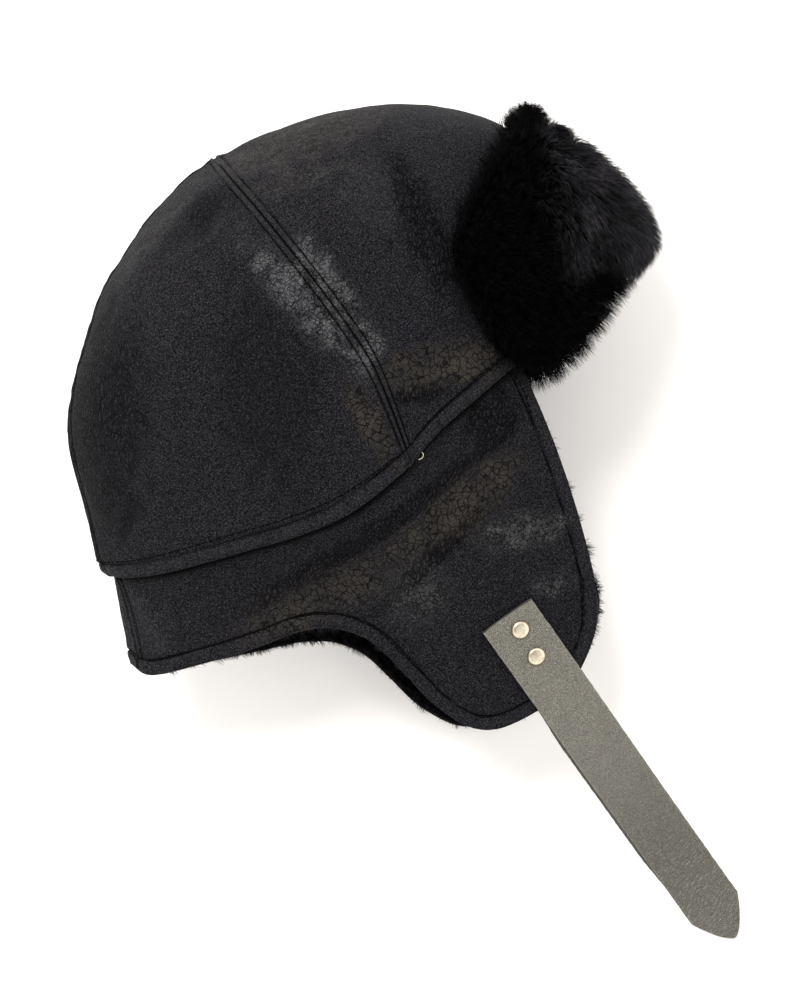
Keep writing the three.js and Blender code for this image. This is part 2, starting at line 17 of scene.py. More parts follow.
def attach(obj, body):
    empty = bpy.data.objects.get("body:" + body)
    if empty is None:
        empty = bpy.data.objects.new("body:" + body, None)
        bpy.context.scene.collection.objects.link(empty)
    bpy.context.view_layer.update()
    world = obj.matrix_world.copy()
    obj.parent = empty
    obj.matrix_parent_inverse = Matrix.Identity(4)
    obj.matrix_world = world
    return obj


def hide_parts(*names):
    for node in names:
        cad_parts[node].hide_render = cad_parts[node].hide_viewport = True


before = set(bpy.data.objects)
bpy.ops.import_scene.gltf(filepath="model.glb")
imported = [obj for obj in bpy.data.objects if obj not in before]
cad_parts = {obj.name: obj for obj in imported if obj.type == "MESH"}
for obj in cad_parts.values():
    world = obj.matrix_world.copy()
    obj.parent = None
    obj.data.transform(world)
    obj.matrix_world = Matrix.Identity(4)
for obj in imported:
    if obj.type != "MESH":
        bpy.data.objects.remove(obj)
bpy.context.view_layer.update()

MM = 0.001

# Camera: straight above the hat, turned as the photograph is
CAMERA_PLACE = (0.005985, -0.07763, 2.0)
CAMERA_TURN = -30
CAMERA_LENS = 159.2

# Studio: brightness of walls and ceiling, and the way to the brightest wall
WALL_LIGHT = 2.15
CEILING_LIGHT = 0.35
WINDOW_WAY = (0.25, 0.96, 0.1)
KEY_PLACE = (0.0, 1.07, 2.0)
KEY_TARGET = (0, -0.08, 0.05)

# The part's own driving sizes
LEATHER = 1.6
HEM_THICKNESS = 3
GAP = 0.3
STRAP_THICKNESS = 2
STRAP_WIDTH = 25.8
MIDDLE = 65
SETTLE = 5
BACK_SEAM_ANGLE = 8
TUCK_SHARE = 0.045
SKIRT_INSET = HEM_THICKNESS + 2 * GAP
POLE_CAP = 0.985
FLAP_PLANE = {"x": 20, "y": -100, "z": 104, "slope_x": -0.12, "slope_y": 0.38}
FRONT_BOW = 3
FOLD_FADE = 30
VISOR_CLEARANCE = 0.75
VISOR_RIM = 1.5
VISOR_REACH = 64
VISOR_BULGE = 0.85
STRAP_START = np.array([20.1, -145.5])
STRAP_END = np.array([37.8, -328.2])
STRAP_LEAVES = 47
STRAP_LANDS = 150
STRAP_TIP = 16.5
STRAP_TIP_POWER = 0.65
STRAP_ROLL = 7
RIVETS = {"rivet_upper": (8.5, -1.2), "rivet_lower": (22.2, -0.2)}


def table(columns, *rows):
    return dict(zip(columns.split(), np.array(rows, float).T))


BACK_OUTLINE = table(
    "x y z",
    (-123.5, -42.6, 65), (-123.9, -35.3, 65), (-121.4, -26.5, 65), (-113.9, -0.3, 65), (-104.1, 24.6, 65),
    (-82.9, 48.1, 65), (-61.7, 66.4, 65), (-33.9, 80.9, 65), (-6.1, 90.3, 65), (9.4, 91.5, 65),
)
FRONT_OUTLINE = table(
    "x y z",
    (130, -40, 65), (134, -25, 65), (136, -5, 65), (134, 15, 65), (126, 42, 65), (107.1, 62.2, 65),
    (72.2, 81.2, 65), (28.3, 90.8, 65), (9.4, 91.5, 65),
)
SIDE_OUTLINE = table(
    "x y z",
    (17.1, -67.8, 129), (21.6, -42, 136), (23.8, -21.3, 139), (22, 5.2, 139), (18.9, 29.8, 135),
    (15, 56.1, 122), (11.4, 77.3, 100), (9.4, 91.5, 65),
)
HEM = table(
    "angle y z",
    (0, -42.6, 65), (10, -44.8, 75), (19, -48.2, 84), (29, -53, 94), (44, -59.5, 106), (56, -65.1, 115),
    (66, -70.3, 121), (76, -72.9, 126), (87, -69.5, 129), (99, -61.8, 127), (111, -57.3, 123),
    (125, -52.4, 114), (145, -46, 97), (180, -40, 65),
)
EDGE = table(
    "angle x y z left_x left_y left_z",
    (0, -133.9, -81.9, 65, 0, 0, 65), (12, -127.9, -90.4, 78, 0, 0, 50), (25, -105.7, -97, 92, -1, -1, 32),
    (40, -78.9, -103.2, 98, -3, -3, 17), (55, -60.6, -106.3, 98, -5, -5, 6),
    (66, -46.9, -112.8, 97, -7, -6, 0), (72, -36.6, -125.3, 93, -8, -5, -4),
    (78, -31.5, -142.6, 87, -8, -3, -6), (84, -27.3, -161.5, 80, -7, -2, -6),
    (90, -19.4, -178.6, 74, -5, -1, -6), (95.5, -8.9, -186.9, 70, -4, 1, -6),
    (102, 7.6, -189.3, 70, -4, 2, -6), (109, 26.2, -187.7, 72, -5, 2, -6),
    (115, 40.3, -180.6, 75, -6, 2, -6), (120, 53.5, -167.8, 79, -6, 2, -6),
    (124.5, 62.1, -149.9, 84, -6, 1, -5),
)
DIP = table("angle depth", (0, 0), (25, 2), (60, 4), (90, 2), (125, 0))
FOLDS = table(
    "x y length width direction depth",
    (-26, -97, 42, 7, 12, 2.6), (-14, -84, 40, 6, 10, -1.6), (40, -84, 24, 6, 14, 2.4),
    (52, -98, 26, 6, 18, -1.2), (-96, -78, 20, 6, -60, 1.8), (63, 20, 34, 7, 72, 1.8),
    (56, -32, 14, 8, 20, 1.4), (-14, 66, 24, 5, 12, 1.2),
)
VISOR = table(
    "angle bottom top fold crest lift",
    (116, 0.14, 0.2, 9, 8, 0), (117, 0.09, 0.24, 10, 9, 0), (119.5, 0.04, 0.28, 12, 10, 0),
    (125, -0.03, 0.31, 15, 11, 0), (134, -0.055, 0.335, 20, 11, 1), (146, -0.06, 0.355, 27, 11, 6),
    (160, -0.06, 0.365, 35, 11, 14), (180, -0.06, 0.37, 40, 11, 18),
)

# Seams and stitches that only the look has, in mm
STITCH_PITCH = 3.4
SEAM_STITCH = 3.2
SEAM_STITCH_LOW = 2.1
PUCKER_PLACE = np.array([19, -70, 130])
PUCKER_WAY = np.array([0.94, 0.33, 0])
PUCKER_PITCH = 4.2
PUCKER_REACH = 13
# Painted shadow on the skirt under the crown's hem: full to the first distance, gone by the second.
UNDER_HEM_SHADOW = (2.6, 5.5)
# How much lighter the puffed bands are painted: painted sheen.
BAND_SHEEN = 0.24
STRAP_SIDE = 1.2
HEM_STITCH = 6.4
EDGE_STITCH = 6
WELT = 0.8
WELT_INNER = 4
WELT_OUTER = 8
MERIDIAN = 178
LINE_WIDTH = 0.42
EDGE_SMOOTHING = 300

# Hairs of each kind, and the visor's two lobes as centre, radius and hairs
VISOR_HAIRS = 33000
VISOR_LOBES = (((136, 35.6, 82), 6.6, 2400), ((144, 23.5, 82), 5, 1200))
FRINGE_HAIRS = 1500
LINING_HAIRS = 17000
RIM_HAIRS = 5200

# Least and greatest length and width of the hairs
VISOR_LENGTH, VISOR_WIDTH = (8.2, 11.5), (0.24, 0.38)
LOBE_LENGTH = (3.4, 4.6)
FRINGE_LENGTH, FRINGE_WIDTH = (7, 11), (0.24, 0.36)
LINING_LENGTH, LINING_WIDTH = (5, 7.5), (0.35, 0.55)
RIM_WIDTH = (0.2, 0.34)

# Angles between which the visor's pile grows
VISOR_FROM = 116
VISOR_TO = 244

# Soft creases too fine for the solids, as FOLDS
CREASES = table(
    "x y length width direction depth",
    (62, 34, 22, 2.6, 78, 0.9), (70, 12, 24, 2.6, 74, 0.8), (55, 50, 16, 2.4, 88, 0.7),
    (80, -6, 14, 3, 62, 0.6), (-40, -92, 26, 3, 14, 0.9), (2, -98, 20, 3, 20, 0.9),
    (-20, -108, 16, 3, 24, 0.6), (30, -76, 16, 3, 26, 0.7), (-70, -84, 16, 3, 6, 0.6),
    (-122, -64, 20, 4, -86, 2.4), (-115, -72, 20, 4.5, -86, -2.2), (-108, -80, 18, 5, -80, 1.6),
    (60, -120, 22, 4, 80, 0.6), (40, -112, 14, 3, 40, 0.5), (-60, 58, 20, 3, 42, 0.5),
    (40, 72, 20, 3, -20, 0.6), (-96, -24, 18, 4, 64, 0.5), (-70, -38, 18, 4, 10, 0.4),
)

# Worn places: brown shows through the black or the grain is polished, and polished grain is also painted
# lighter as sheen; the dark column is painted shade in valleys and on sides turned from the light
WEAR_SHEEN_SHADE = table(
    "x y length width direction brown polish dark",
    (11.5, 17, 33, 9, 100, 0, 1, 0), (19, -18, 12, 6, 96, 0, 0.7, 0), (24.5, 16, 25, 7, 92, 0, 1, 0),
    (28.5, -17, 9, 5.5, 80, 0, 0.9, 0), (46, -37, 25, 9, -13, 0.9, 0, 0), (67, -45, 15, 9, -20, 0.9, 0, 0),
    (11, -46, 18, 6, 85, 0.9, 0, 0), (46, 77, 34, 9, -10, 0.5, 0.4, 0), (36, 62, 20, 5, -15, 0.2, 0.4, 0),
    (96, -30, 20, 8, 10, 0.7, 0, 0), (-47, -98, 36, 10, -6, 0.8, 0.1, 0),
    (-9, -117, 15, 13, 20, 0.1, 0.6, 0), (44, -117, 19, 8, -20, 0.1, 0.8, 0),
    (45, -145, 9, 5, -10, 0, 0.7, 0), (31, -94, 26, 10, 10, 0.9, 0, 0), (8, -98, 18, 8, 4, 0.9, 0, 0),
    (-118, -70, 10, 14, 20, 0, 0.35, 0), (-29, 74, 37, 4, 21, 0, 0.3, 0), (60, 40, 16, 12, 70, 0, 0.25, 0),
    (72, 18, 34, 9, 83, 0, 0, 0.5), (84, -12, 20, 8, 80, 0, 0, 0.5), (-20, -10, 44, 22, 70, 0, 0, 0.25),
    (35, -44, 12, 4, -20, 0, 0, 0.6), (10, -84, 40, 4, 8, 0, 0, 0.6), (-40, -86, 40, 5, 4, 0, 0, 0.4),
    (4, -108, 34, 4, 14, 0, 0, 0.6), (-92, 16, 62, 22, 60, 0, 0, 0.4), (-6, 70, 16, 8, 10, 0, 0, 0.4),
    (56, -70, 14, 10, 30, 0, 0, 0.5),
)


def smoothstep(value, low, high):
    t = np.clip((value - low) / (high - low), 0, 1)
    return t * t * (3 - 2 * t)


def lerp(start, end, share):
    return start + (end - start) * share


def unit(vectors):
    return vectors / np.maximum(np.linalg.norm(vectors, axis=-1, keepdims=True), 1e-9)


def hermite(start, end, slope_start, slope_end, t):
    s = 1 - t
    ends = start * s * s * (1 + 2 * t) + end * t * t * (3 - 2 * t)
    return ends + slope_start * t * s * s - slope_end * t * t * s


def value_at(rows, column, angle):
    """Smooth value of a table's column at each angle."""
    angles, values = rows["angle"], rows[column]
    last = len(angles) - 1
    i = np.minimum(np.searchsorted(angles[1:], angle, side="left"), last - 1)
    before = np.maximum(np.arange(last + 1) - 1, 0)
    after = np.minimum(np.arange(last + 1) + 1, last)
    slopes = (values[after] - values[before]) / (angles[after] - angles[before])
    width = angles[i + 1] - angles[i]
    t = np.clip((angle - angles[i]) / width, 0, 1)
    return hermite(values[i], values[i + 1], slopes[i] * width, slopes[i + 1] * width, t)


def step_lengths(line):
    return np.linalg.norm(np.diff(line, axis=0), axis=1)


def run_of(steps):
    """Distance passed at each point of a line, from the lengths of its steps."""
    return np.concatenate([[0], np.cumsum(steps)])


def along_line(line, passed, wanted):
    return np.stack([np.interp(wanted, passed, line[:, k]) for k in range(3)], -1)


def outline(rows):
    """A smooth line through the rows: its points and each point's share of the length."""
    points = np.column_stack([rows["x"], rows["y"], rows["z"]])
    line = np.vstack([2 * points[0] - points[1], points, 2 * points[-1] - points[-2]])
    gaps = np.sqrt(np.linalg.norm(np.diff(line, axis=0), axis=1))
    t = np.linspace(0, 1, 80)[:, None]
    runs = []
    for i in range(len(points) - 1):
        p0, p1, p2, p3 = line[i : i + 4]
        d0, d1, d2 = gaps[i : i + 3]
        slope_1 = ((p1 - p0) / d0 - (p2 - p0) / (d0 + d1) + (p2 - p1) / d1) * d1
        slope_2 = ((p2 - p1) / d1 - (p3 - p1) / (d1 + d2) + (p3 - p2) / d2) * d1
        runs.append(hermite(p1, p2, slope_1, slope_2, t))
    run = np.vstack(runs)
    passed = run_of(step_lengths(run))
    return run, passed / passed[-1]


BACK, FRONT, SIDE = outline(BACK_OUTLINE), outline(FRONT_OUTLINE), outline(SIDE_OUTLINE)


def at_share(curve, share):
    run, shares = curve
    return along_line(run, shares, share)


def right_angle(angle):
    turned = np.abs(angle) % 360
    return np.where(turned > 180, 360 - turned, turned)


def settle(points):
    """What lies on the floor goes flat."""
    points = points.copy()
    z = points[..., 2]
    soft = (np.clip(z, -SETTLE, SETTLE) + SETTLE) ** 2 / (4 * SETTLE)
    points[..., 2] = np.where(z < SETTLE, soft, z)
    return points


def crown_form(angle, height):
    """The crown's form: an oval between the side seam and the outline at back or front."""
    angle, height = np.broadcast_arrays(np.asarray(angle, float), np.asarray(height, float))
    low = np.minimum(height, 0)[..., None]
    point = crown_above(angle, np.clip(height, 0, 1))
    if not (low < 0).any():
        return point
    step = 0.02
    foot = crown_above(angle, np.zeros_like(height))
    return point + (crown_above(angle, np.full_like(height, step)) - foot) * low / step


def crown_above(angle, height):
    turn = np.radians(angle)
    cos, sin = np.cos(turn), np.sin(turn)
    seam = at_share(SIDE, height)
    behind = (cos > 0)[..., None]
    end = np.where(behind, at_share(BACK, height), at_share(FRONT, height))
    fade = (1 - height) ** 3
    share = np.abs(cos)
    end_y = np.where(cos > 0, BACK_OUTLINE["y"][0], FRONT_OUTLINE["y"][0])
    hem_y = lerp(SIDE_OUTLINE["y"][0], end_y, share)
    hem_z = (SIDE_OUTLINE["z"][0] - MIDDLE) * np.abs(sin)
    right = right_angle(angle)
    drop_y = (value_at(HEM, "y", right) - hem_y) * fade
    drop_z = (value_at(HEM, "z", right) - MIDDLE - hem_z) * fade
    x = lerp(seam[..., 0], end[..., 0], share)
    y = lerp(seam[..., 1], end[..., 1], share) + drop_y
    z = MIDDLE + (seam[..., 2] - MIDDLE) * sin + drop_z * np.sign(sin)
    return np.stack([x, y, z], -1)


def patch_distance(points, x, y, length, width, direction):
    """Squared distance from a long patch's middle: 1 at its border."""
    turn = math.radians(direction)
    dx, dy = points[..., 0] - x, points[..., 1] - y
    lengthwise = (dx * math.cos(turn) + dy * math.sin(turn)) / length
    crosswise = (dy * math.cos(turn) - dx * math.sin(turn)) / width
    return lengthwise**2 + crosswise**2


def dents(points, rows):
    """Depth of the upper side's dents and folds at each point."""
    total = np.zeros(points.shape[:-1])
    for *patch, depth in zip(*rows.values()):
        total += depth * np.exp(-patch_distance(points, *patch))
    return total * smoothstep(points[..., 2], MIDDLE, MIDDLE + FOLD_FADE)


def ripple(points, size, seed):
    """Even unrest between about -1 and 1, with waves of about one size."""
    draw = np.random.default_rng(seed)
    total = np.zeros(points.shape[:-1])
    waves = 9
    for _ in range(waves):
        way = unit(draw.normal(size=3)) * 2 * math.pi / (size * draw.uniform(0.7, 1.5))
        total += np.sin(points @ way + draw.uniform(0, 2 * math.pi))
    return total / math.sqrt(waves)


def normals_of(surface, angle, height, sign):
    step_angle, step_height = 0.5, 0.01
    across = surface(angle + step_angle, height) - surface(angle - step_angle, height)
    up = surface(angle, height + step_height / 2) - surface(angle, height - step_height / 2)
    return unit(np.cross(across, up)) * sign


def crown_normal(surface, angle, height):
    normal = normals_of(surface, angle, np.minimum(height, POLE_CAP), 1)
    return np.where((np.asarray(height) > POLE_CAP)[..., None], np.array([0, 1.0, 0]), normal)


def seam_distance(angle, height):
    """Distance of each point of the crown from the nearer side seam."""
    seam_angle = np.where(np.sin(np.radians(angle)) < 0, 270, 90)
    return np.linalg.norm(crown_form(angle, height) - crown_form(seam_angle, height), axis=-1)


def welt(to_seam):
    """Height of the leather over a side seam's allowances."""
    return WELT * (1 - smoothstep(to_seam, WELT_INNER, WELT_OUTER))


def crown_outer(angle, height):
    """The solid's outer face, with the welt of the side seams and the folds."""
    point = crown_form(angle, height)
    rise = welt(seam_distance(angle, height)) - dents(point, FOLDS)
    return settle(point + crown_normal(crown_form, angle, height) * rise[..., None])


def crown_inside(angle, height, depth):
    return crown_outer(angle, height) - crown_normal(crown_outer, angle, height) * depth


def flap_plane(x, y):
    plane = FLAP_PLANE
    return plane["z"] + plane["slope_x"] * (x - plane["x"]) + plane["slope_y"] * (y - plane["y"])


def skirt_edge(angle):
    right = right_angle(angle)
    x, y = value_at(EDGE, "x", right), value_at(EDGE, "y", right)
    near = np.stack([x, y, value_at(EDGE, "z", right)], -1)
    far_x, far_y = x + value_at(EDGE, "left_x", right), y + value_at(EDGE, "left_y", right)
    far = np.stack([far_x, far_y, value_at(EDGE, "left_z", right)], -1)
    return np.where((angle >= 0)[..., None], near, far)


def skirt_outer(angle, drop):
    """The skirt's outer face: drop 0 at the crown's hem, 1 at its lower edge, -1 at the tuck."""
    angle, drop = np.broadcast_arrays(np.asarray(angle, float), np.asarray(drop, float))
    tucked = crown_inside(angle, np.maximum(-drop, 0) * TUCK_SHARE, SKIRT_INSET)
    down = np.maximum(drop, 0)
    top = crown_inside(angle, np.zeros_like(drop), SKIRT_INSET)
    point = lerp(top, skirt_edge(angle), down[..., None])
    right = right_angle(angle)
    halfway = 4 * down * (1 - down)
    dip = value_at(DIP, "depth", right) * halfway
    turn = np.radians(angle)
    point[..., 0] += dip * np.cos(turn) + FRONT_BOW * halfway * smoothstep(right, 100, 124)
    point[..., 2] -= dip * np.sin(turn)
    near_strap = smoothstep(angle, 84, 95) * (1 - smoothstep(angle, 114, 124)) * (angle > 0)
    share = smoothstep(down, 0.15, 0.5) * near_strap
    fold = dents(point, FOLDS) * smoothstep(down, 0, 0.15) * (1 - share)
    point[..., 2] -= np.where(angle > 0, fold, 0)
    point[..., 2] = lerp(point[..., 2], flap_plane(point[..., 0], point[..., 1]), share)
    return np.where((drop < 0)[..., None], tucked, settle(point))


def skirt_normal(angle, drop):
    return normals_of(skirt_outer, angle, np.clip(drop, 0.02, 0.985), -1)


def skirt_inside(angle, drop, depth):
    return skirt_outer(angle, drop) - skirt_normal(angle, drop) * depth


def visor_height(angle, share):
    right = right_angle(angle)
    return lerp(value_at(VISOR, "bottom", right), value_at(VISOR, "top", right), share)


def visor_inner(angle, share):
    height = visor_height(angle, share)
    return settle(crown_form(angle, height) + crown_normal(crown_form, angle, height) * VISOR_CLEARANCE)


def visor_outer(angle, share, inset=0.0):
    right = right_angle(angle)
    height = visor_height(angle, share)
    end_share = np.clip((180 - right) / VISOR_REACH, 0, 1)
    rounding = np.sqrt(1 - np.abs(2 * share - 1) ** 4) * np.sqrt(1 - end_share**10)
    bulge = lerp(value_at(VISOR, "fold", right), value_at(VISOR, "crest", right), share**VISOR_BULGE)
    depth = VISOR_CLEARANCE + VISOR_RIM + np.maximum(bulge - inset, 1) * rounding
    point = crown_form(angle, height) + crown_normal(crown_form, angle, height) * depth[..., None]
    point[..., 1] += value_at(VISOR, "lift", right) * (1 - share) ** 2
    return settle(point)


def linked(name, data):
    """An object in the scene, with its data."""
    made = bpy.data.objects.new(name, data)
    bpy.context.scene.collection.objects.link(made)
    return made


def finish_mesh(name, vertices, faces, materials, face_materials=None, values=None):
    """A smooth mesh object from points in mm, none below the floor. values are named, one to a point."""
    mesh = bpy.data.meshes.new(name)
    vertices[:, 2] = np.maximum(vertices[:, 2], 0)
    mesh.from_pydata((vertices * MM).tolist(), [], faces)
    for material in materials:
        mesh.materials.append(material)
    if face_materials is not None:
        mesh.polygons.foreach_set("material_index", face_materials)
    mesh.polygons.foreach_set("use_smooth", [True] * len(mesh.polygons))
    for key, numbers in (values or {}).items():
        layer = mesh.attributes.new(key, "FLOAT", "POINT")
        layer.data.foreach_set("value", np.asarray(numbers, np.float32).ravel())
    mesh.validate()
    return linked(name, mesh)


def weld(piece, distance=1e-6):
    work = bmesh.new()
    work.from_mesh(piece.data)
    bmesh.ops.remove_doubles(work, verts=work.verts, dist=distance)
    bmesh.ops.dissolve_degenerate(work, edges=work.edges, dist=distance)
    if work.calc_volume(signed=True) < 0:
        bmesh.ops.reverse_faces(work, faces=work.faces)
    work.to_mesh(piece.data)
    work.free()
    return piece


def loop_faces(rows, columns):
    """Faces of a closed wall whose rows run down the outer face, round the edge and up the inner face."""
    index = np.arange(rows * columns).reshape(rows, columns)
    after = np.roll(index, -1, axis=0)
    sides = np.stack([index[:, :-1], index[:, 1:], after[:, 1:], after[:, :-1]], -1).reshape(-1, 4)
    caps = []
    for column, way in ((0, 1), (columns - 1, -1)):
        for i in range(rows // 2 - 1 + rows % 2):
            ring = [int(index[row, column]) for row in (i, i + 1, rows - 2 - i, rows - 1 - i)]
            caps.append(list(dict.fromkeys(ring[::way])))
    return sides.tolist() + [face for face in caps if len(face) > 2]


def tube_faces(rings, sides, start=0):
    """Faces between the rings of a tube."""
    faces = []
    for i in range(rings - 1):
        for k in range(sides):
            a, b = start + i * sides + k, start + i * sides + (k + 1) % sides
            faces.append([a, b, b + sides, a + sides])
    return faces


def round_edge(outer, inner, reach, steps=5):
    """Rows of points round a wall's edge, from its outer to its inner face, bulging by reach."""
    middle, arm = (outer + inner) / 2, (outer - inner) / 2
    turns = np.radians(np.linspace(0, 180, steps + 2)[1:-1])
    return [middle + arm * math.cos(t) + reach * math.sin(t) for t in turns]


def wall(name, outer, inner, reach, materials, values):
    """A leather wall from grids of points, rows from the top down. The inner face has the second material.
    reach is the way that the lower edge bulges."""
    turn = round_edge(outer[-1], inner[-1], reach)
    grid = np.array([*outer, *turn, *inner[::-1]])
    count, columns = grid.shape[:2]
    faces = loop_faces(count, columns)
    shown = len(outer) + len(turn) // 2
    kinds = np.repeat((np.arange(count) >= shown).astype(int), columns - 1)
    kinds = np.concatenate([kinds, np.zeros(len(faces) - len(kinds), int)])
    spread = {}
    for key, numbers in values.items():
        edge = np.repeat(numbers[-1:], len(turn), axis=0)
        spread[key] = np.concatenate([numbers, edge, numbers[::-1]])
    piece = finish_mesh(name, grid.reshape(-1, 3), faces, materials, kinds, spread)
    return weld(piece)


def wear_sheen_shade_values(points):
    """Shares of brown, of polished grain with its painted sheen, and of painted shade for each point of the
    leather.
    """
    side = smoothstep(points[..., 2], MIDDLE - 20, MIDDLE + FOLD_FADE)
    totals = {"brown": 0, "polish": 0, "dark": 0}
    unrest = 0.35 * ripple(points, 9, 44)
    for row in zip(*WEAR_SHEEN_SHADE.values()):
        near = 1 - smoothstep(patch_distance(points, *row[:5]) + unrest, 0.1, 1.8)
        for key, share in zip(totals, row[5:]):
            totals[key] = totals[key] + share * near * side
    away = 1 - smoothstep(points[..., 2], MIDDLE - 50, MIDDLE - 20)
    totals["brown"] += away * np.clip(ripple(points, 60, 5) - 0.4, 0, 1) * 0.8
    totals["polish"] += away * np.clip(ripple(points, 50, 6) - 0.4, 0, 1) * 0.6
    return {key: np.clip(total, 0, 1) for key, total in totals.items()}


def bump_line(distance, width):
    return np.exp(-((distance / width) ** 2))


def seam_reach(height):
    """Distance of a stitch row from its seam: the rows run together towards the hem."""
    return lerp(SEAM_STITCH_LOW, SEAM_STITCH, smoothstep(height, 0.03, 0.3))


def seam_relief(distance, reach, unrest):
    """Height across a seam with a stitch row on each side: groove, puffed rib, stitch line."""
    rib = 0.5 * bump_line(distance - reach * 0.52, reach * 0.34) * (1 + 0.35 * unrest)
    return rib - 0.6 * bump_line(distance, 0.4) - 0.6 * bump_line(distance - reach, LINE_WIDTH)


def seam_line(distance, reach):
    """Darkness across a seam: its gap and the dented stitch rows."""
    return np.maximum(bump_line(distance, LINE_WIDTH), 0.85 * bump_line(distance - reach, 0.36))


def hem_relief(distance, stitch, unrest):
    """Height along a folded edge: the puffed band, and the stitch line above it."""
    band = 0.65 * bump_line(distance - stitch / 2, stitch / 2.6) * (1 + 0.5 * unrest)
    shoulder = 0.15 * bump_line(distance - stitch - 2.2, 1.6)
    return band + shoulder - 0.75 * bump_line(distance - stitch, 0.45)


def uneven(points, wide, narrow):
    """Slight waves of the stretched leather. wide and narrow are each (size, seed)."""
    return 0.35 * ripple(points, *wide) + 0.1 * ripple(points, *narrow)


def pucker(points):
    """Gathers round the foot of the right side seam."""
    away = np.linalg.norm(points - PUCKER_PLACE, axis=-1)
    wave = np.sin(2 * math.pi * (points @ PUCKER_WAY) / PUCKER_PITCH + 1.5 * ripple(points, 9, 41))
    return 0.3 * wave * bump_line(away, PUCKER_REACH)


def crown_look(angle, height):
    """The crown's outer face with its seams, hem and small creases, the darkness of its sewn lines, and how
    puffed its bands are."""
    plain = crown_form(angle, height)
    normal = crown_normal(crown_form, angle, height)
    to_seam = seam_distance(angle, height)
    to_back = np.linalg.norm(plain - crown_form(np.full_like(angle, BACK_SEAM_ANGLE), height), axis=-1)
    to_hem = np.linalg.norm(plain - crown_form(angle, np.zeros_like(height)), axis=-1)
    unrest = ripple(plain, 7, 3)
    reach = seam_reach(height)
    behind = np.cos(np.radians(angle)) > 0
    rise = welt(to_seam) - dents(plain, FOLDS) - dents(plain, CREASES)
    seams = smoothstep(to_hem, HEM_STITCH - 1, HEM_STITCH + 1)
    at_back = np.where(behind, seam_relief(to_back, reach, unrest), 0)
    rise += (seam_relief(to_seam, reach, unrest) + at_back) * lerp(0.3, 1, seams)
    rise += hem_relief(to_hem, HEM_STITCH, ripple(plain, 5, 4)) + pucker(plain)
    free = smoothstep(to_seam, 3, 12) * smoothstep(to_hem, 8, 20)
    rise += free * uneven(plain, (34, 1), (11, 2))
    line = np.maximum(seam_line(to_seam, reach), np.where(behind, 0.6 * seam_line(to_back, reach), 0))
    line = np.maximum(line * lerp(0.4, 1, seams), bump_line(to_hem - HEM_STITCH, LINE_WIDTH))
    band = bump_line(to_hem - HEM_STITCH / 2, HEM_STITCH / 2.2)
    band = np.maximum(band, bump_line(to_seam - reach / 2, reach / 2.4))
    return settle(plain + normal * rise[..., None]), line, band


# Distances of mesh lines from a seam, the crown's hem and the skirt's edge, in mm
SEAM_STEPS = np.array([
    0, 0.3, 0.6, 0.9, 1.3, 1.7, 2.1, 2.5, 2.85, 3.15, 3.45, 3.8, 4.3, 5, 6, 7.2, 8.8, 10.8,
])
HEM_STEPS = np.array([0, 0.5, 1.1, 1.9, 2.8, 3.7, 4.6, 5.3, 5.8, 6.15, 6.5, 6.85, 7.3, 8, 9, 10.4])
EDGE_STEPS = np.array([0, 0.5, 1.1, 1.8, 2.6, 3.5, 4.3, 4.9, 5.4, 5.8, 6.2, 6.6, 7.2, 8, 9.4])

# The crown's rows of points, and the steps beside its seams at so many mm to a degree
CROWN_HEIGHTS = np.concatenate([HEM_STEPS / MERIDIAN, np.linspace(12 / MERIDIAN, 1, 98)])
SIDE_DEGREES = SEAM_STEPS / 2.1
BACK_DEGREES = SEAM_STEPS / 1.26


def columns_between(first, last, first_steps, last_steps, step):
    """Angles between two seams, close together beside each."""
    way = 1 if last > first else -1
    start = first + way * first_steps
    stop = last - way * last_steps[::-1]
    count = max(2, round(abs(stop[0] - start[-1]) / step))
    return np.concatenate([start, np.linspace(start[-1], stop[0], count + 1)[1:-1], stop])


def crown_panel(node, angles, materials):
    angle, height = np.meshgrid(angles, CROWN_HEIGHTS[::-1])
    outer, line, band = crown_look(angle, height)
    to_hem = height * MERIDIAN
    depth = lerp(LEATHER, HEM_THICKNESS, 1 - smoothstep(to_hem, 9, 11))
    inner = settle(outer - crown_normal(crown_outer, angle, height) * depth[..., None])
    inner[0] = outer[0] - np.array([0, LEATHER, 0])
    for column, beside in ((0, 1), (-1, -2)):
        inwards = unit(outer[:, beside] - outer[:, column]) * GAP / 3
        inwards[0] = 0
        outer[:, column] += inwards
        inner[:, column] += inwards
    reach = unit(outer[-1] - outer[-3]) * 0.9
    values = banded(wear_sheen_shade_values(outer), line, band)
    return place(wall(node + "_leather", outer, inner, reach, materials, values), "leather", node)


def banded(values, line, band):
    """The leather's values with its sewn lines (and on the skirt the painted shadow under the hem), and with
    its puffed bands painted lighter as sheen.
    """
    values["polish"] = np.maximum(values["polish"], BAND_SHEEN * band)
    values["line"] = line
    return values


def place(piece, slot, *nodes):
    """The piece rides on the hat and stands for the nodes, which are hidden. slot is not used."""
    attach(piece, "root")
    if nodes:
        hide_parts(*nodes)
    return piece


def left_of(angles):
    """A list of angles from the back seam on the right side, carried round the left side."""
    over = np.arange(BACK_SEAM_ANGLE, -BACK_SEAM_ANGLE, -1.0)
    return np.concatenate([over, -angles[angles >= BACK_SEAM_ANGLE]])


def skirt_angles():
    """Angles along the skirt at about even steps of its lower edge, closer beside the seam and the front."""
    count = 1500
    fine = np.linspace(BACK_SEAM_ANGLE, EDGE["angle"][-1], count)
    lower, upper = (skirt_outer(fine, np.full(count, drop)) for drop in (0.95, 0.5))
    passed = run_of((step_lengths(lower) + step_lengths(upper)) / 2)
    wanted = columns_between(0, passed[-1], SEAM_STEPS, EDGE_STEPS, 1.7)
    return np.interp(wanted, passed, fine)


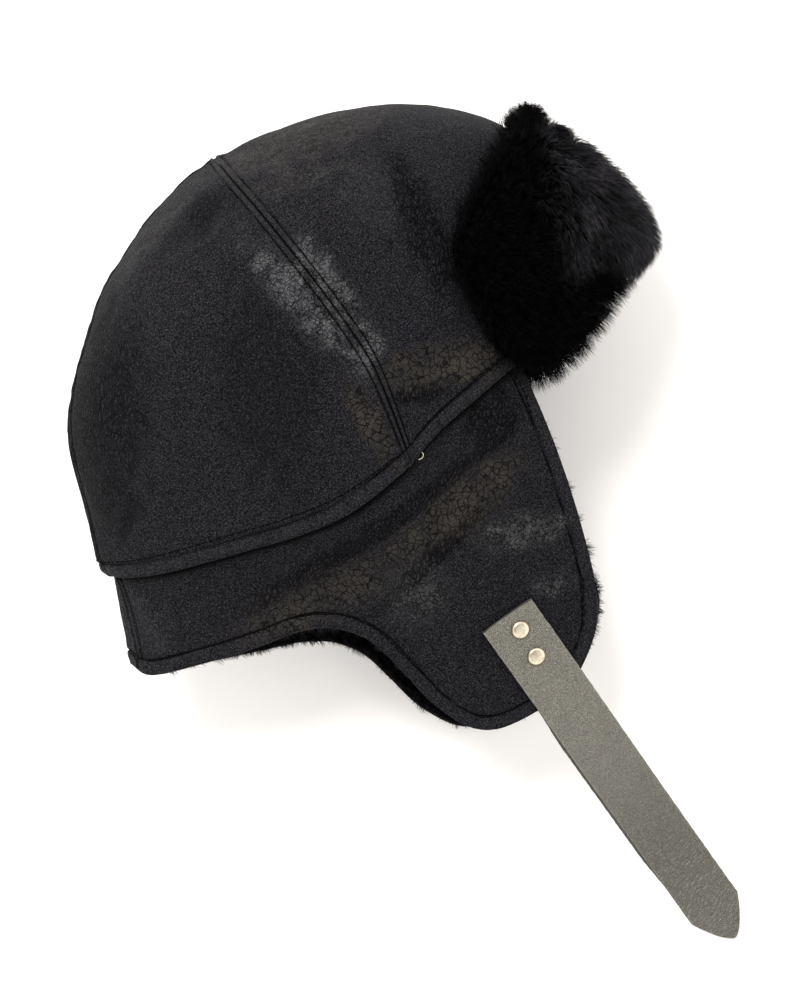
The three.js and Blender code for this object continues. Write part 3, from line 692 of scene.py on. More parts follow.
def skirt_drops(angles):
    """Drops for each row and column: the tuck, even rows, then rows at set distances from the lower edge."""
    edge, hem = skirt_outer(angles, np.ones_like(angles)), skirt_outer(angles, np.zeros_like(angles))
    length = np.linalg.norm(edge - hem, axis=1)
    near = 1 - EDGE_STEPS[::-1, None] / length
    even = np.linspace(0, 1, 56)[:-1, None] * near[0]
    tuck = np.linspace(-1, 0, 6)[:-1, None] * np.ones_like(angles)
    return np.concatenate([tuck, even, near])


def rim_line(angles, depth=0.0, back=0.0):
    """Points along the skirt's free edge: its lower edge, then the flap's front edge. depth lies under the
    leather, and back is a share of the way inwards."""
    last = angles[-1]
    fine = np.interp(np.linspace(0, 1, 900), np.linspace(0, 1, len(angles)), angles)
    lower = skirt_inside(fine, np.full_like(fine, 1 - back), depth)
    up = np.linspace(1, 0, 260)[1:]
    degrees_back = 60 * back
    front = skirt_inside(np.full_like(up, last - np.sign(last) * degrees_back), up, depth)
    return np.concatenate([lower, front])


def tree_of(points):
    tree = kdtree.KDTree(len(points))
    for i, point in enumerate(points):
        tree.insert(point, i)
    tree.balance()
    return tree


def distance_to(points, line):
    tree = tree_of(line)
    return np.array([tree.find(point)[2] for point in points.reshape(-1, 3)]).reshape(points.shape[:-1])


def skirt_panel(node, angles, materials):
    drop = skirt_drops(angles)
    angle = np.broadcast_to(angles, drop.shape)
    plain = skirt_outer(angle, drop)
    on_crown = crown_normal(crown_outer, angle, -drop * TUCK_SHARE)
    normal = np.where((drop < 0)[..., None], on_crown, skirt_normal(angle, drop))
    to_edge = distance_to(plain, rim_line(angles))
    to_back = np.linalg.norm(plain - skirt_outer(np.full_like(angle, angles[0]), drop), axis=-1)
    unrest = ripple(plain, 6, 7)
    free = smoothstep(to_edge, 8, 18) * smoothstep(drop, 0, 0.2)
    rise = hem_relief(to_edge, EDGE_STITCH, unrest) * smoothstep(drop, 0.0, 0.1)
    rise += seam_relief(to_back, SEAM_STITCH, unrest) * smoothstep(to_edge, 4, 7)
    rise -= dents(plain, CREASES) * smoothstep(to_edge, 6, 12)
    rise += free * uneven(plain, (26, 8), (9, 9))
    rise = (rise + pucker(plain)) * smoothstep(drop, -0.05, 0.05)
    line = 0.5 * seam_line(to_back, SEAM_STITCH) * smoothstep(to_edge, 4, 7)
    line = np.maximum(line, bump_line(to_edge - EDGE_STITCH, LINE_WIDTH))
    to_hem = np.linalg.norm(plain - skirt_outer(angle, 0 * drop), axis=-1) * (drop > 0)
    # Painted shadow: the skirt is painted near black just under the crown's hem, where the hem's shadow
    # falls.
    line = np.maximum(line, 0.95 * (1 - smoothstep(to_hem, *UNDER_HEM_SHADOW)))
    band = 0.6 * bump_line(to_edge - EDGE_STITCH / 2, EDGE_STITCH / 2.2)
    outer = settle(plain + normal * rise[..., None])
    inner = settle(outer - normal * LEATHER)
    reach = unit(outer[-1] - outer[-3]) * 0.7
    values = banded(wear_sheen_shade_values(outer), line, band)
    return place(wall(node + "_leather", outer, inner, reach, materials, values), "leather", node)


def stitches(name, rows, materials, tail=None):
    """Thread that shows: each row is (points, normals) along a line, and each stitch a short arched tube.
    tail is the line of a loose thread end, in the second material."""
    sides, radius, length, tail_radius = 6, 0.32, STITCH_PITCH * 0.86, 0.13
    rings = np.array([(-0.5, -0.5, 0.7), (-0.36, 0.05, 1), (0, 0.3, 1), (0.36, 0.05, 1), (0.5, -0.5, 0.7)])
    turns = np.linspace(0, 2 * math.pi, sides, endpoint=False)
    vertices, faces, kinds = [], [], []

    def tube(centres, along, up, radii, kind):
        start = len(vertices)
        for centre, way, over, reach in zip(centres, along, up, radii):
            across = unit(np.cross(way, over))
            vertices.extend(centre + (across * math.cos(t) + over * math.sin(t)) * reach for t in turns)
        last = len(vertices) - sides
        ends = [list(range(start, start + sides))[::-1], list(range(last, last + sides))]
        made = tube_faces(len(centres), sides, start) + ends
        faces.extend(made)
        kinds.extend([kind] * len(made))

    for points, normals in rows:
        along = unit(np.gradient(points, axis=0))
        for place_at, way, up in zip(points, along, normals):
            centres = [place_at + way * a * length + up * b * radius * 1.6 for a, b, _ in rings]
            tube(centres, [way] * len(rings), [up] * len(rings), [radius * c for _, _, c in rings], 0)
    if tail is not None:
        along = unit(np.gradient(tail, axis=0))
        up = unit(np.cross(along, np.array([0.3, 0.2, 1.0])))
        tube(tail, along, up, [tail_radius] * len(tail), 1)
    piece = finish_mesh(name, np.array(vertices), faces, materials, np.array(kinds))
    return place(weld(piece, 1e-9), "leather")


def even_steps(line, pitch, margin=0.0):
    """Points at an even pitch along a line."""
    passed = run_of(step_lengths(line))
    return along_line(line, passed, np.arange(margin + pitch / 2, passed[-1] - margin, pitch))


def on_surface(piece, points):
    """The nearest places on a piece, and the outward directions there."""
    mesh = piece.data
    tree = BVHTree.FromPolygons([v.co for v in mesh.vertices], [p.vertices for p in mesh.polygons])
    found = [tree.find_nearest(Vector(point) * MM) for point in points]
    places = np.array([hit[0] for hit in found]) / MM
    ways = np.array([hit[1] for hit in found])
    return places, ways


def beside(line, normals, distance):
    """A line moved sideways along the surface."""
    along = unit(np.gradient(line, axis=0))
    return line + unit(np.cross(along, normals)) * distance


def seam_rows(first, second, seam_angle, heights):
    """Stitch rows on both sides of a seam, each on its own panel."""
    angle = np.full_like(heights, seam_angle)
    line, normals = crown_form(angle, heights), crown_normal(crown_form, angle, heights)
    reach = seam_reach(heights)[:, None]
    rows = []
    for piece, side in ((first, reach), (second, -reach)):
        steps = even_steps(beside(line, normals, side), STITCH_PITCH)
        rows.append(on_surface(piece, steps))
    return rows


def hem_rows(pieces):
    """Stitch rows above the crown's hem, one on each panel."""
    rows = []
    for piece, angles in pieces:
        fine = np.interp(np.linspace(0, 1, 400), np.linspace(0, 1, len(angles)), angles)
        line = crown_form(fine, np.full_like(fine, HEM_STITCH / MERIDIAN))
        rows.append(on_surface(piece, even_steps(line, STITCH_PITCH)))
    return rows


def edge_row(piece, angles):
    """The stitch row inside the skirt's free edge."""
    rim = smooth_line(rim_line(angles))
    towards = rim_line(angles, back=0.06) - rim
    inwards = unit(np.cross(np.gradient(rim, axis=0), on_surface(piece, rim + towards)[1]))
    inwards *= np.sign(np.sum(inwards * towards, -1, keepdims=True))
    line = rim + inwards * EDGE_STITCH
    line = line[distance_to(line, rim) > EDGE_STITCH * 0.97]
    return on_surface(piece, even_steps(smooth_line(line, EDGE_SMOOTHING), STITCH_PITCH, 2))


def smooth_line(line, rounds=12):
    line = line.copy()
    for _ in range(rounds):
        line[1:-1] = (line[:-2] + 2 * line[1:-1] + line[2:]) / 4
    return line


def sample(grid, count, draw):
    """Random places on a grid of points, even by area, with their outward directions and grid shares."""
    a, b = grid[1:, :-1] - grid[:-1, :-1], grid[:-1, 1:] - grid[:-1, :-1]
    ways = np.cross(b, a)
    areas = np.linalg.norm(ways, axis=-1)
    picked = draw.choice(areas.size, count, p=(areas / areas.sum()).ravel())
    row, column = np.unravel_index(picked, areas.shape)
    s, t = draw.uniform(size=count)[:, None], draw.uniform(size=count)[:, None]
    top = lerp(grid[row, column], grid[row, column + 1], t)
    low = lerp(grid[row + 1, column], grid[row + 1, column + 1], t)
    shares = ((row + s[:, 0]) / (grid.shape[0] - 1), (column + t[:, 0]) / (grid.shape[1] - 1))
    return lerp(top, low, s), unit(ways[row, column]), shares


def tufted(roots, points, draw, size, pull):
    """Points drawn together in tufts, each round the point of one of its roots."""
    leaders = draw.choice(len(roots), max(1, len(roots) // size), replace=False)
    tree = tree_of(roots[leaders])
    own = np.array([leaders[tree.find(root)[1]] for root in roots])
    return lerp(points, points[own], pull)


def turned_to(ways, aims):
    """Directions, each turned round if it points away from its aim."""
    return np.where((np.sum(ways * aims, -1) < 0)[:, None], -ways, ways)


def combed(comb, ways):
    """The way that each hair is combed, flat on its skin."""
    return unit(comb - ways * (ways @ comb)[:, None])


def rings_round(roots, tips, widths, draw):
    """Three directions across each hair, as long as half its width."""
    along = unit(tips - roots)
    across = unit(np.cross(along, draw.normal(size=roots.shape)))
    other = np.cross(along, across)
    turns = np.radians([0, 120, 240])
    ring = across[:, None] * np.cos(turns)[None, :, None] + other[:, None] * np.sin(turns)[None, :, None]
    return ring * widths[:, None, None] / 2


def hairs(roots, starts, ends, lengths, widths, draw, tuft_size, pull):
    """Tapered three-sided hairs that bend from one direction to another and close up in tufts."""
    middle = roots + starts * lengths[:, None] * 0.5
    tips = tufted(roots, middle + ends * lengths[:, None] * 0.5, draw, tuft_size, pull)
    for points in (middle, tips):
        points[:, 2] = np.maximum(points[:, 2], 0.1)
    ring = rings_round(roots, tips, widths, draw)
    points = np.concatenate([roots[:, None] + ring, middle[:, None] + ring * 0.8, tips[:, None]], 1)
    points[..., 2] = np.maximum(points[..., 2], 0.02)
    pattern = [(0, 1, 4, 3), (1, 2, 5, 4), (2, 0, 3, 5), (3, 4, 6), (4, 5, 6), (5, 3, 6), (2, 1, 0)]
    heights = np.tile([0, 0, 0, 0.5, 0.5, 0.5, 1], (len(roots), 1))
    return points, pattern, heights


def straight_hairs(roots, ways, lengths, widths, draw, tuft_size, pull):
    """Plain tapered hairs, for the dense pile."""
    tips = tufted(roots, roots + ways * lengths[:, None], draw, tuft_size, pull)
    tips[:, 2] = np.maximum(tips[:, 2], 0.1)
    ring = rings_round(roots, tips, widths, draw)
    points = np.concatenate([roots[:, None] + ring, tips[:, None]], 1)
    points[..., 2] = np.maximum(points[..., 2], 0.02)
    pattern = [(0, 1, 3), (1, 2, 3), (2, 0, 3), (2, 1, 0)]
    return points, pattern, np.tile([0, 0, 0, 1], (len(roots), 1))


def fur_piece(name, node, base, hair_sets, material):
    """A pad with its hairs as one piece. base is (points, faces), and a hair set also has the painted sheen
    of its
    hairs: how much lighter they are painted. The attribute tip runs from 0 at the pad to 1 at a hair's end."""
    offset = len(base[0])
    vertices, faces = [base[0]], list(base[1])
    tip, painted_fur_sheen = [np.zeros(offset)], [np.zeros(offset)]
    for (points, pattern, heights), shine in hair_sets:
        count, size = heights.shape
        starts = np.arange(0, count * size, size) + offset
        for corners in pattern:
            faces.extend((starts[:, None] + np.array(corners)).tolist())
        vertices.append(points.reshape(-1, 3))
        tip.append(heights.ravel())
        painted_fur_sheen.append(np.repeat(np.broadcast_to(shine, count), size))
        offset += count * size
    values = {"tip": np.concatenate(tip), "painted_fur_sheen": np.concatenate(painted_fur_sheen)}
    piece = finish_mesh(name, np.concatenate(vertices), faces, [material], values=values)
    return place(piece, "fur", node)


def pad(outer, inner):
    """A closed pad between two grids of points."""
    grid = np.concatenate([outer, inner[::-1]])
    return grid.reshape(-1, 3), loop_faces(*grid.shape[:2])


def visor_lit(points):
    """Share of the pile that lies flat: the part beyond the fold, towards the hat's top front."""
    forward, upward = points @ np.array([0.87, -0.5, 0]), points @ np.array([0.5, 0.87, 0])
    unrest = 4 * ripple(points, 18, 14)
    return smoothstep(forward + unrest, 99, 123) * smoothstep(upward + unrest, 25, 50)


def visor_piece(material):
    draw = np.random.default_rng(11)
    at_end = [VISOR_FROM, 116.5, 117, 118, 119.5, 121.5]
    degrees = np.concatenate([at_end, np.arange(124, 180, 2.5), [180]])
    degrees = np.concatenate([degrees, 360 - degrees[:-1][::-1]])
    shares = np.array([0, 0.03, 0.08, 0.15, 0.24, 0.34, 0.45, 0.56, 0.67, 0.77, 0.86, 0.93, 0.98, 1])
    angle, share = np.meshgrid(degrees, shares)
    low = lerp(6.0, 3.6, visor_lit(visor_outer(angle, share)))
    base = pad(visor_outer(angle, share, inset=low), visor_inner(angle, share))
    fine_angle, fine_share = np.meshgrid(np.linspace(VISOR_FROM, VISOR_TO, 150), np.linspace(0, 1, 60))
    low = lerp(6.6, 4.2, visor_lit(visor_outer(fine_angle, fine_share)))
    ground = visor_outer(fine_angle, fine_share, inset=low)
    roots, ways, (down, across) = sample(ground, VISOR_HAIRS, draw)
    inside = visor_inner(VISOR_FROM + (VISOR_TO - VISOR_FROM) * across, down)
    ways = turned_to(ways, roots - inside)
    length = draw.uniform(*VISOR_LENGTH, len(roots))
    for centre, radius, count in VISOR_LOBES:
        ball_roots, ball_ways = ball(centre, radius, count, draw)
        roots, ways = np.concatenate([roots, ball_roots]), np.concatenate([ways, ball_ways])
        length = np.concatenate([length, draw.uniform(*LOBE_LENGTH, count)])
        base = joined(base, lobe_core(centre, radius + 1))
    count = len(roots)
    lit = visor_lit(roots)
    comb = combed(np.array([-0.66, -0.78, -0.1]), ways)
    lean = comb * (lerp(0.25, 2.2, lit) * draw.uniform(0.75, 1.25, count))[:, None]
    stray = draw.normal(size=(count, 3)) * lerp(0.24, 0.2, lit)[:, None]
    widths = draw.uniform(*VISOR_WIDTH, count)
    # Painted sheen: the flat-lying pile in the light is painted lighter, hair by hair.
    shine = lerp(0.08, 1, lit) * lerp(0.6, 1.15, smoothstep(ripple(roots, 14, 15), -0.8, 0.8))
    shine *= draw.uniform(0.3, 1.7, count)
    bent = np.arange(count) % 9 == 0
    plain = ~bent
    pile = straight_hairs(roots[plain], unit(ways + lean * 0.8 + stray)[plain], length[plain], widths[plain],
                          draw, 9, 0.45)
    starts, ends = unit(ways + lean * 0.4 + stray)[bent], unit(ways * 0.7 + lean + stray)[bent]
    long_hair = hairs(roots[bent], starts, ends, length[bent] * 1.05, widths[bent], draw, 3, 0.3)
    sets = [(pile, shine[plain]), (long_hair, shine[bent]), (visor_fringe(draw), 0.06)]
    return fur_piece("fur_visor_pile", "fur_visor", base, sets, material)


def visor_fringe(draw):
    """Hairs that stand over the leather round the visor's end and upper rim, on both sides."""
    count = FRINGE_HAIRS
    run = draw.uniform(size=count)
    at_end = run < 0.5
    angle = np.where(at_end, 117.5, lerp(117.5, 156, 2 * run - 1))
    share = np.where(at_end, 2 * run, 0.96)
    back_angle = angle + np.where(at_end, 5, 0.5)
    back_share = np.where(at_end, lerp(share, 0.5, 0.15), 0.8)
    mirrored = draw.uniform(size=count) < 0.35
    angle, back_angle = (np.where(mirrored, 360 - a, a) for a in (angle, back_angle))
    edge, back = visor_outer(angle, share, inset=6.0), visor_outer(back_angle, back_share, inset=6.0)
    outwards = unit(edge - back)
    up = crown_normal(crown_form, angle, visor_height(angle, share))
    stray = draw.normal(size=(count, 3)) * 0.28
    lengths, widths = draw.uniform(*FRINGE_LENGTH, count), draw.uniform(*FRINGE_WIDTH, count)
    starts, ends = unit(outwards + up * 0.45 + stray), unit(outwards + up * 0.1 + stray)
    return hairs(edge - outwards * 2.5, starts, ends, lengths, widths, draw, 5, 0.4)


def joined(first, second):
    """Two meshes, each (points, faces), as one."""
    start = len(first[0])
    faces = first[1] + [[corner + start for corner in face] for face in second[1]]
    return np.concatenate([first[0], second[0]]), faces


def lobe_core(centre, radius):
    """The round skin under a lobe's pile."""
    work = bmesh.new()
    bmesh.ops.create_icosphere(work, subdivisions=3, radius=radius)
    points = np.array([v.co for v in work.verts]) + np.array(centre)
    faces = [[v.index for v in face.verts] for face in work.faces]
    work.free()
    return points, faces


def ball(centre, radius, count, draw):
    ways = unit(draw.normal(size=(count, 3)))
    return np.array(centre) + ways * radius, ways


def lining_piece(node, angles, material, seed):
    draw = np.random.default_rng(seed)
    coarse = angles[:: max(1, len(angles) // 90)]
    coarse = np.append(coarse[:-1], angles[-1])
    angle, drop = np.meshgrid(coarse, np.linspace(0.06, 0.995, 26))
    near, far = LEATHER + GAP, LEATHER + GAP + 3
    base = pad(skirt_inside(angle, drop, near), settle(skirt_inside(angle, drop, far)))
    pile_angle, pile_drop = np.meshgrid(coarse, np.linspace(0.08, 0.97, 40))
    surface = settle(skirt_inside(pile_angle, pile_drop, far - 1))
    roots, ways, _ = sample(surface, LINING_HAIRS, draw)
    ways = turned_to(ways, np.array([5, -60, MIDDLE]) - roots)
    comb = combed(np.array([0.1, -0.95, 0]), ways)
    stray = draw.normal(size=roots.shape) * 0.25
    lengths, widths = draw.uniform(*LINING_LENGTH, LINING_HAIRS), draw.uniform(*LINING_WIDTH, LINING_HAIRS)
    pile = straight_hairs(roots, unit(ways + comb * 0.6 + stray), lengths, widths, draw, 8, 0.5)
    # 0.4 and 0.3 are the painted sheen of the lining's hairs.
    return fur_piece(node + "_fur", node, base, [(pile, 0.4), (rim_hairs(angles, draw), 0.3)], material)


def rim_hairs(angles, draw):
    """Hairs that stand out past the leather's free edge."""
    outer, inner = rim_line(angles, LEATHER + 1), rim_line(angles, LEATHER + 5.5)
    passed = run_of(step_lengths(outer))
    count = RIM_HAIRS
    wanted = draw.uniform(0, passed[-1], count)
    side = draw.uniform(size=count)[:, None]
    near, deep = along_line(outer, passed, wanted), along_line(inner, passed, wanted)
    place_at = lerp(near, deep, side)
    tangent = unit(along_line(outer, passed, wanted + 0.5) - along_line(outer, passed, wanted - 0.5))
    through = unit(near - deep)
    level = (place_at - np.array([10, -95, 0])) * np.array([1, 1, 0])
    outwards = turned_to(np.cross(tangent, through) * np.sign(angles[-1]), level)
    stray = draw.normal(size=(count, 3)) * 0.3
    starts = unit(outwards - through * 0.2 + stray)
    ends = unit(outwards + np.array([0.05, -0.35, -0.1]) + stray * 1.6)
    shape = 0.75 + 0.5 * np.clip(ripple(place_at, 9, 21), -1, 1)
    front = smoothstep(wanted / passed[-1], 0.55, 0.8)
    lengths = lerp(4.6, 6.4, front) * shape * draw.uniform(0.7, 1.25, count)
    widths = draw.uniform(*RIM_WIDTH, count)
    return hairs(place_at - outwards * 3, starts, ends, lengths, widths, draw, 7, 0.5)


STRAP_RUN = (STRAP_END - STRAP_START) / np.linalg.norm(STRAP_END - STRAP_START)
STRAP_LENGTH = np.linalg.norm(STRAP_END - STRAP_START)
STRAP_CROSS = np.array([STRAP_RUN[1], -STRAP_RUN[0]])


def strap_under(along, aside):
    """The strap's lower face at a distance from its upper end and from its middle line."""
    along, aside = np.broadcast_arrays(np.asarray(along, float), np.asarray(aside, float))
    flat = STRAP_START + STRAP_RUN * along[..., None]
    place_at = flat + STRAP_CROSS * aside[..., None]
    slope = np.array([FLAP_PLANE["slope_x"], FLAP_PLANE["slope_y"]])
    lift = GAP * math.sqrt(1 + slope @ slope)
    on_flap = flap_plane(place_at[..., 0], place_at[..., 1]) + lift
    leaves = STRAP_START + STRAP_RUN * STRAP_LEAVES
    span = STRAP_LANDS - STRAP_LEAVES
    t = np.clip((along - STRAP_LEAVES) / span, 0, 1)
    height = hermite(flap_plane(*leaves) + lift, 0, slope @ STRAP_RUN * span, 0, t)
    twist = math.tan(math.radians(STRAP_ROLL)) * 4 * t * (1 - t) * (1 - t)
    roll = lerp(slope @ STRAP_CROSS, 0, smoothstep(t, 0, 0.5)) - twist
    free = np.maximum(height + roll * aside, 0)
    z = np.where(along <= STRAP_LEAVES, on_flap, free)
    return np.concatenate([place_at, z[..., None]], -1)


def strap_half_width(along):
    from_tip = np.clip((STRAP_LENGTH - along) / STRAP_TIP, 0.002, 1)
    return STRAP_WIDTH / 2 * from_tip**STRAP_TIP_POWER


def strap_piece(materials):
    step_in = np.linspace(0, STRAP_LENGTH - STRAP_TIP, 210)[:-1]
    to_tip = STRAP_LENGTH - STRAP_TIP * np.linspace(1, 0, 26) ** 1.5
    rim = np.array([0.91, 0.955, 0.985, 1])
    crossings = np.concatenate([-rim[::-1], np.linspace(-0.86, 0.86, 30), rim])
    along, at = np.meshgrid(np.concatenate([step_in, to_tip]), crossings, indexing="ij")
    fray = 0.07 * np.clip(ripple(np.stack([along, at * 30, 0 * at], -1), 5, 31), -1, 1)
    fray *= smoothstep(np.abs(at), 0.85, 1)
    aside = at * (strap_half_width(along) + fray * smoothstep(STRAP_LENGTH - along, 2, 9))
    under = strap_under(along, aside)
    step = 0.5
    ahead = strap_under(along + step, aside) - strap_under(along - step, aside)
    across = strap_under(along, aside + step) - strap_under(along, aside - step)
    up = unit(np.cross(across, ahead))
    up = np.where(up[..., 2:] < 0, -up, up)
    edge = smoothstep(np.abs(at), 0.93, 1)
    corner = smoothstep(np.abs(at), 0.55, 1) * (1 - smoothstep(along, 0, 9))
    pressed = np.zeros_like(along)
    for forward, sideways in RIVETS.values():
        pressed += 0.5 * bump_line(np.hypot(along - forward, aside - sideways), 4.6)
    soft = np.stack([along, aside, 0 * along], -1)
    wrinkles = 0.16 * ripple(soft * np.array([1, 0.35, 1]), 7, 32) * (1 - smoothstep(along, 30, 60))
    rise = STRAP_THICKNESS - 0.35 * edge - pressed + wrinkles + 0.12 * ripple(soft, 22, 33) + 0.9 * corner
    top = under + up * rise[..., None]
    low = under + up * (0.6 * corner)[..., None]
    slant = smoothstep(along, 40, 65) * (1 - smoothstep(along, 125, 150)) * smoothstep(at, 0.9, 1)
    low[..., :2] += STRAP_CROSS * (STRAP_SIDE * slant)[..., None]
    grid = np.concatenate([top.transpose(1, 0, 2), low.transpose(1, 0, 2)[::-1]])
    count, columns = grid.shape[:2]
    faces = loop_faces(count, columns)
    kinds = np.where(np.arange(count) < len(crossings) - 1, 0, 1)
    caps = np.ones(len(faces) - count * (columns - 1), int)
    kinds = np.concatenate([np.repeat(kinds, columns - 1), caps])
    values = {"raw": edge, "far": along / STRAP_LENGTH}
    values = {key: np.concatenate([value.T, value.T[::-1]]) for key, value in values.items()}
    piece = finish_mesh("chin_strap_leather", grid.reshape(-1, 3), faces, materials, kinds, values)
    return place(weld(piece), "strap_leather", "chin_strap")


def rivet_piece(node, materials):
    """A rivet turned from its profile, square to the flap. Its ring has the second material."""
    up = unit(np.array([-FLAP_PLANE["slope_x"], -FLAP_PLANE["slope_y"], 1]))
    across = unit(np.cross(up, np.array([0, 1.0, 0])))
    other = np.cross(up, across)
    centre = strap_under(*RIVETS[node]) - up * GAP
    seat, inner = GAP + STRAP_THICKNESS + GAP - 0.5, -LEATHER - GAP
    back = [(0, inner - 1), (2.6, inner - 0.95), (3.1, inner - 0.6), (3.2, inner), (1.3, inner), (1.3, seat)]
    ring = [(3.95, seat), (4.08, seat + 0.12), (4.1, seat + 0.3), (3.98, seat + 0.45), (3.82, seat + 0.5)]
    rises = np.linspace(0.12, math.pi / 2, 12)
    radii = [*(4 * np.cos(rises[:-1]) ** 0.6 * 0.94), 0]
    profile = back + ring + list(zip(radii, seat + 0.4 + 0.95 * np.sin(rises)))
    sides = 56
    vertices = []
    for radius, height in profile:
        for t in np.linspace(0, 2 * math.pi, sides, endpoint=False):
            vertices.append(centre + up * height + (across * math.cos(t) + other * math.sin(t)) * radius)
    in_ring = range(len(back) - 1, len(back) + len(ring))
    kinds = np.repeat([int(i in in_ring) for i in range(len(profile) - 1)], sides)
    faces = tube_faces(len(profile), sides)
    piece = finish_mesh(node + "_cap", np.array(vertices), faces, materials, kinds)
    return place(weld(piece, 1e-7), "brass", node)


# Materials

class Nodes:
    """The nodes of a material or of the world. Sizes are in mm."""

    def __init__(self, tree):
        self.tree = tree

    def add(self, kind, inputs=None, **settings):
        """A node with its settings, and its inputs by name or number as values or links."""
        made = self.tree.nodes.new("ShaderNode" + kind)
        for key, value in settings.items():
            setattr(made, key, value)
        for key, value in (inputs or {}).items():
            self.put(made.inputs[key], value)
        return made

    def put(self, socket, value):
        if isinstance(value, bpy.types.NodeSocket):
            self.tree.links.new(value, socket)
        else:
            socket.default_value = value

    def math(self, operation, *values):
        return self.add("Math", dict(enumerate(values)), operation=operation).outputs[0]

    def times(self, first, *others):
        for other in others:
            first = self.math("MULTIPLY", first, other)
        return first

    def most(self, first, *others):
        for other in others:
            first = self.math("MAXIMUM", first, other)
        return first

    def less(self, first, second):
        return self.math("SUBTRACT", first, second)

    def spread(self, value, low, high, to_low=0.0, to_high=1.0):
        """The value's run from low to high, taken to another run and cut off at its ends."""
        inputs = {"Value": value, "From Min": low, "From Max": high, "To Min": to_low, "To Max": to_high}
        return self.add("MapRange", inputs).outputs[0]


class Paint(Nodes):
    """A surface that is worked out from the piece's own coordinates and attributes."""

    def __init__(self, name, color, roughness, specular=0.5, metallic=0.0):
        self.material = bpy.data.materials.new(name)
        self.material.use_nodes = True
        super().__init__(self.material.node_tree)
        self.inputs = self.tree.nodes["Principled BSDF"].inputs
        self.set("Base Color", (*color, 1))
        self.set("Roughness", roughness)
        self.set("Specular IOR Level", specular)
        self.set("Metallic", metallic)
        self.where = self.add("TexCoord").outputs["Object"]

    def set(self, name, value):
        self.put(self.inputs[name], value)

    def blend(self, share, first, second):
        """Two colours mixed. Each is a link or three numbers."""
        ends = [(*color, 1) if isinstance(color, tuple) else color for color in (first, second)]
        return self.add("Mix", {0: share, 6: ends[0], 7: ends[1]}, data_type="RGBA").outputs[2]

    def value(self, name):
        return self.add("Attribute", attribute_name=name).outputs["Fac"]

    def noise(self, size, detail=3.0, output="Fac"):
        inputs = {"Vector": self.where, "Scale": 1 / (size * MM), "Detail": detail}
        return self.add("TexNoise", inputs).outputs[output]

    def pushed(self, size, amount):
        """The coordinates, pushed about so that cells aren't regular."""
        inputs = {0: self.noise(size, output="Color"), 1: (amount * MM,) * 3, 2: self.where}
        return self.add("VectorMath", inputs, operation="MULTIPLY_ADD").outputs[0]

    def drawn(self, where, direction, scale):
        """Coordinates turned by degrees and drawn out."""
        inputs = {"Vector": where, "Rotation": (0, 0, math.radians(direction)), "Scale": scale}
        return self.add("Mapping", inputs, vector_type="TEXTURE").outputs[0]

    def lines(self, where, size, thin, thick):
        """Lines between cells: 1 on a line, 0 from the thick distance on."""
        inputs = {"Vector": where, "Scale": 1 / (size * MM)}
        distance = self.add("TexVoronoi", inputs, feature="DISTANCE_TO_EDGE").outputs["Distance"]
        return self.spread(distance, thin, thick, 1.0, 0.0)

    def bump(self, height, depth, strength=1.0):
        inputs = {"Height": height, "Distance": depth * MM, "Strength": strength}
        self.set("Normal", self.add("Bump", inputs).outputs[0])


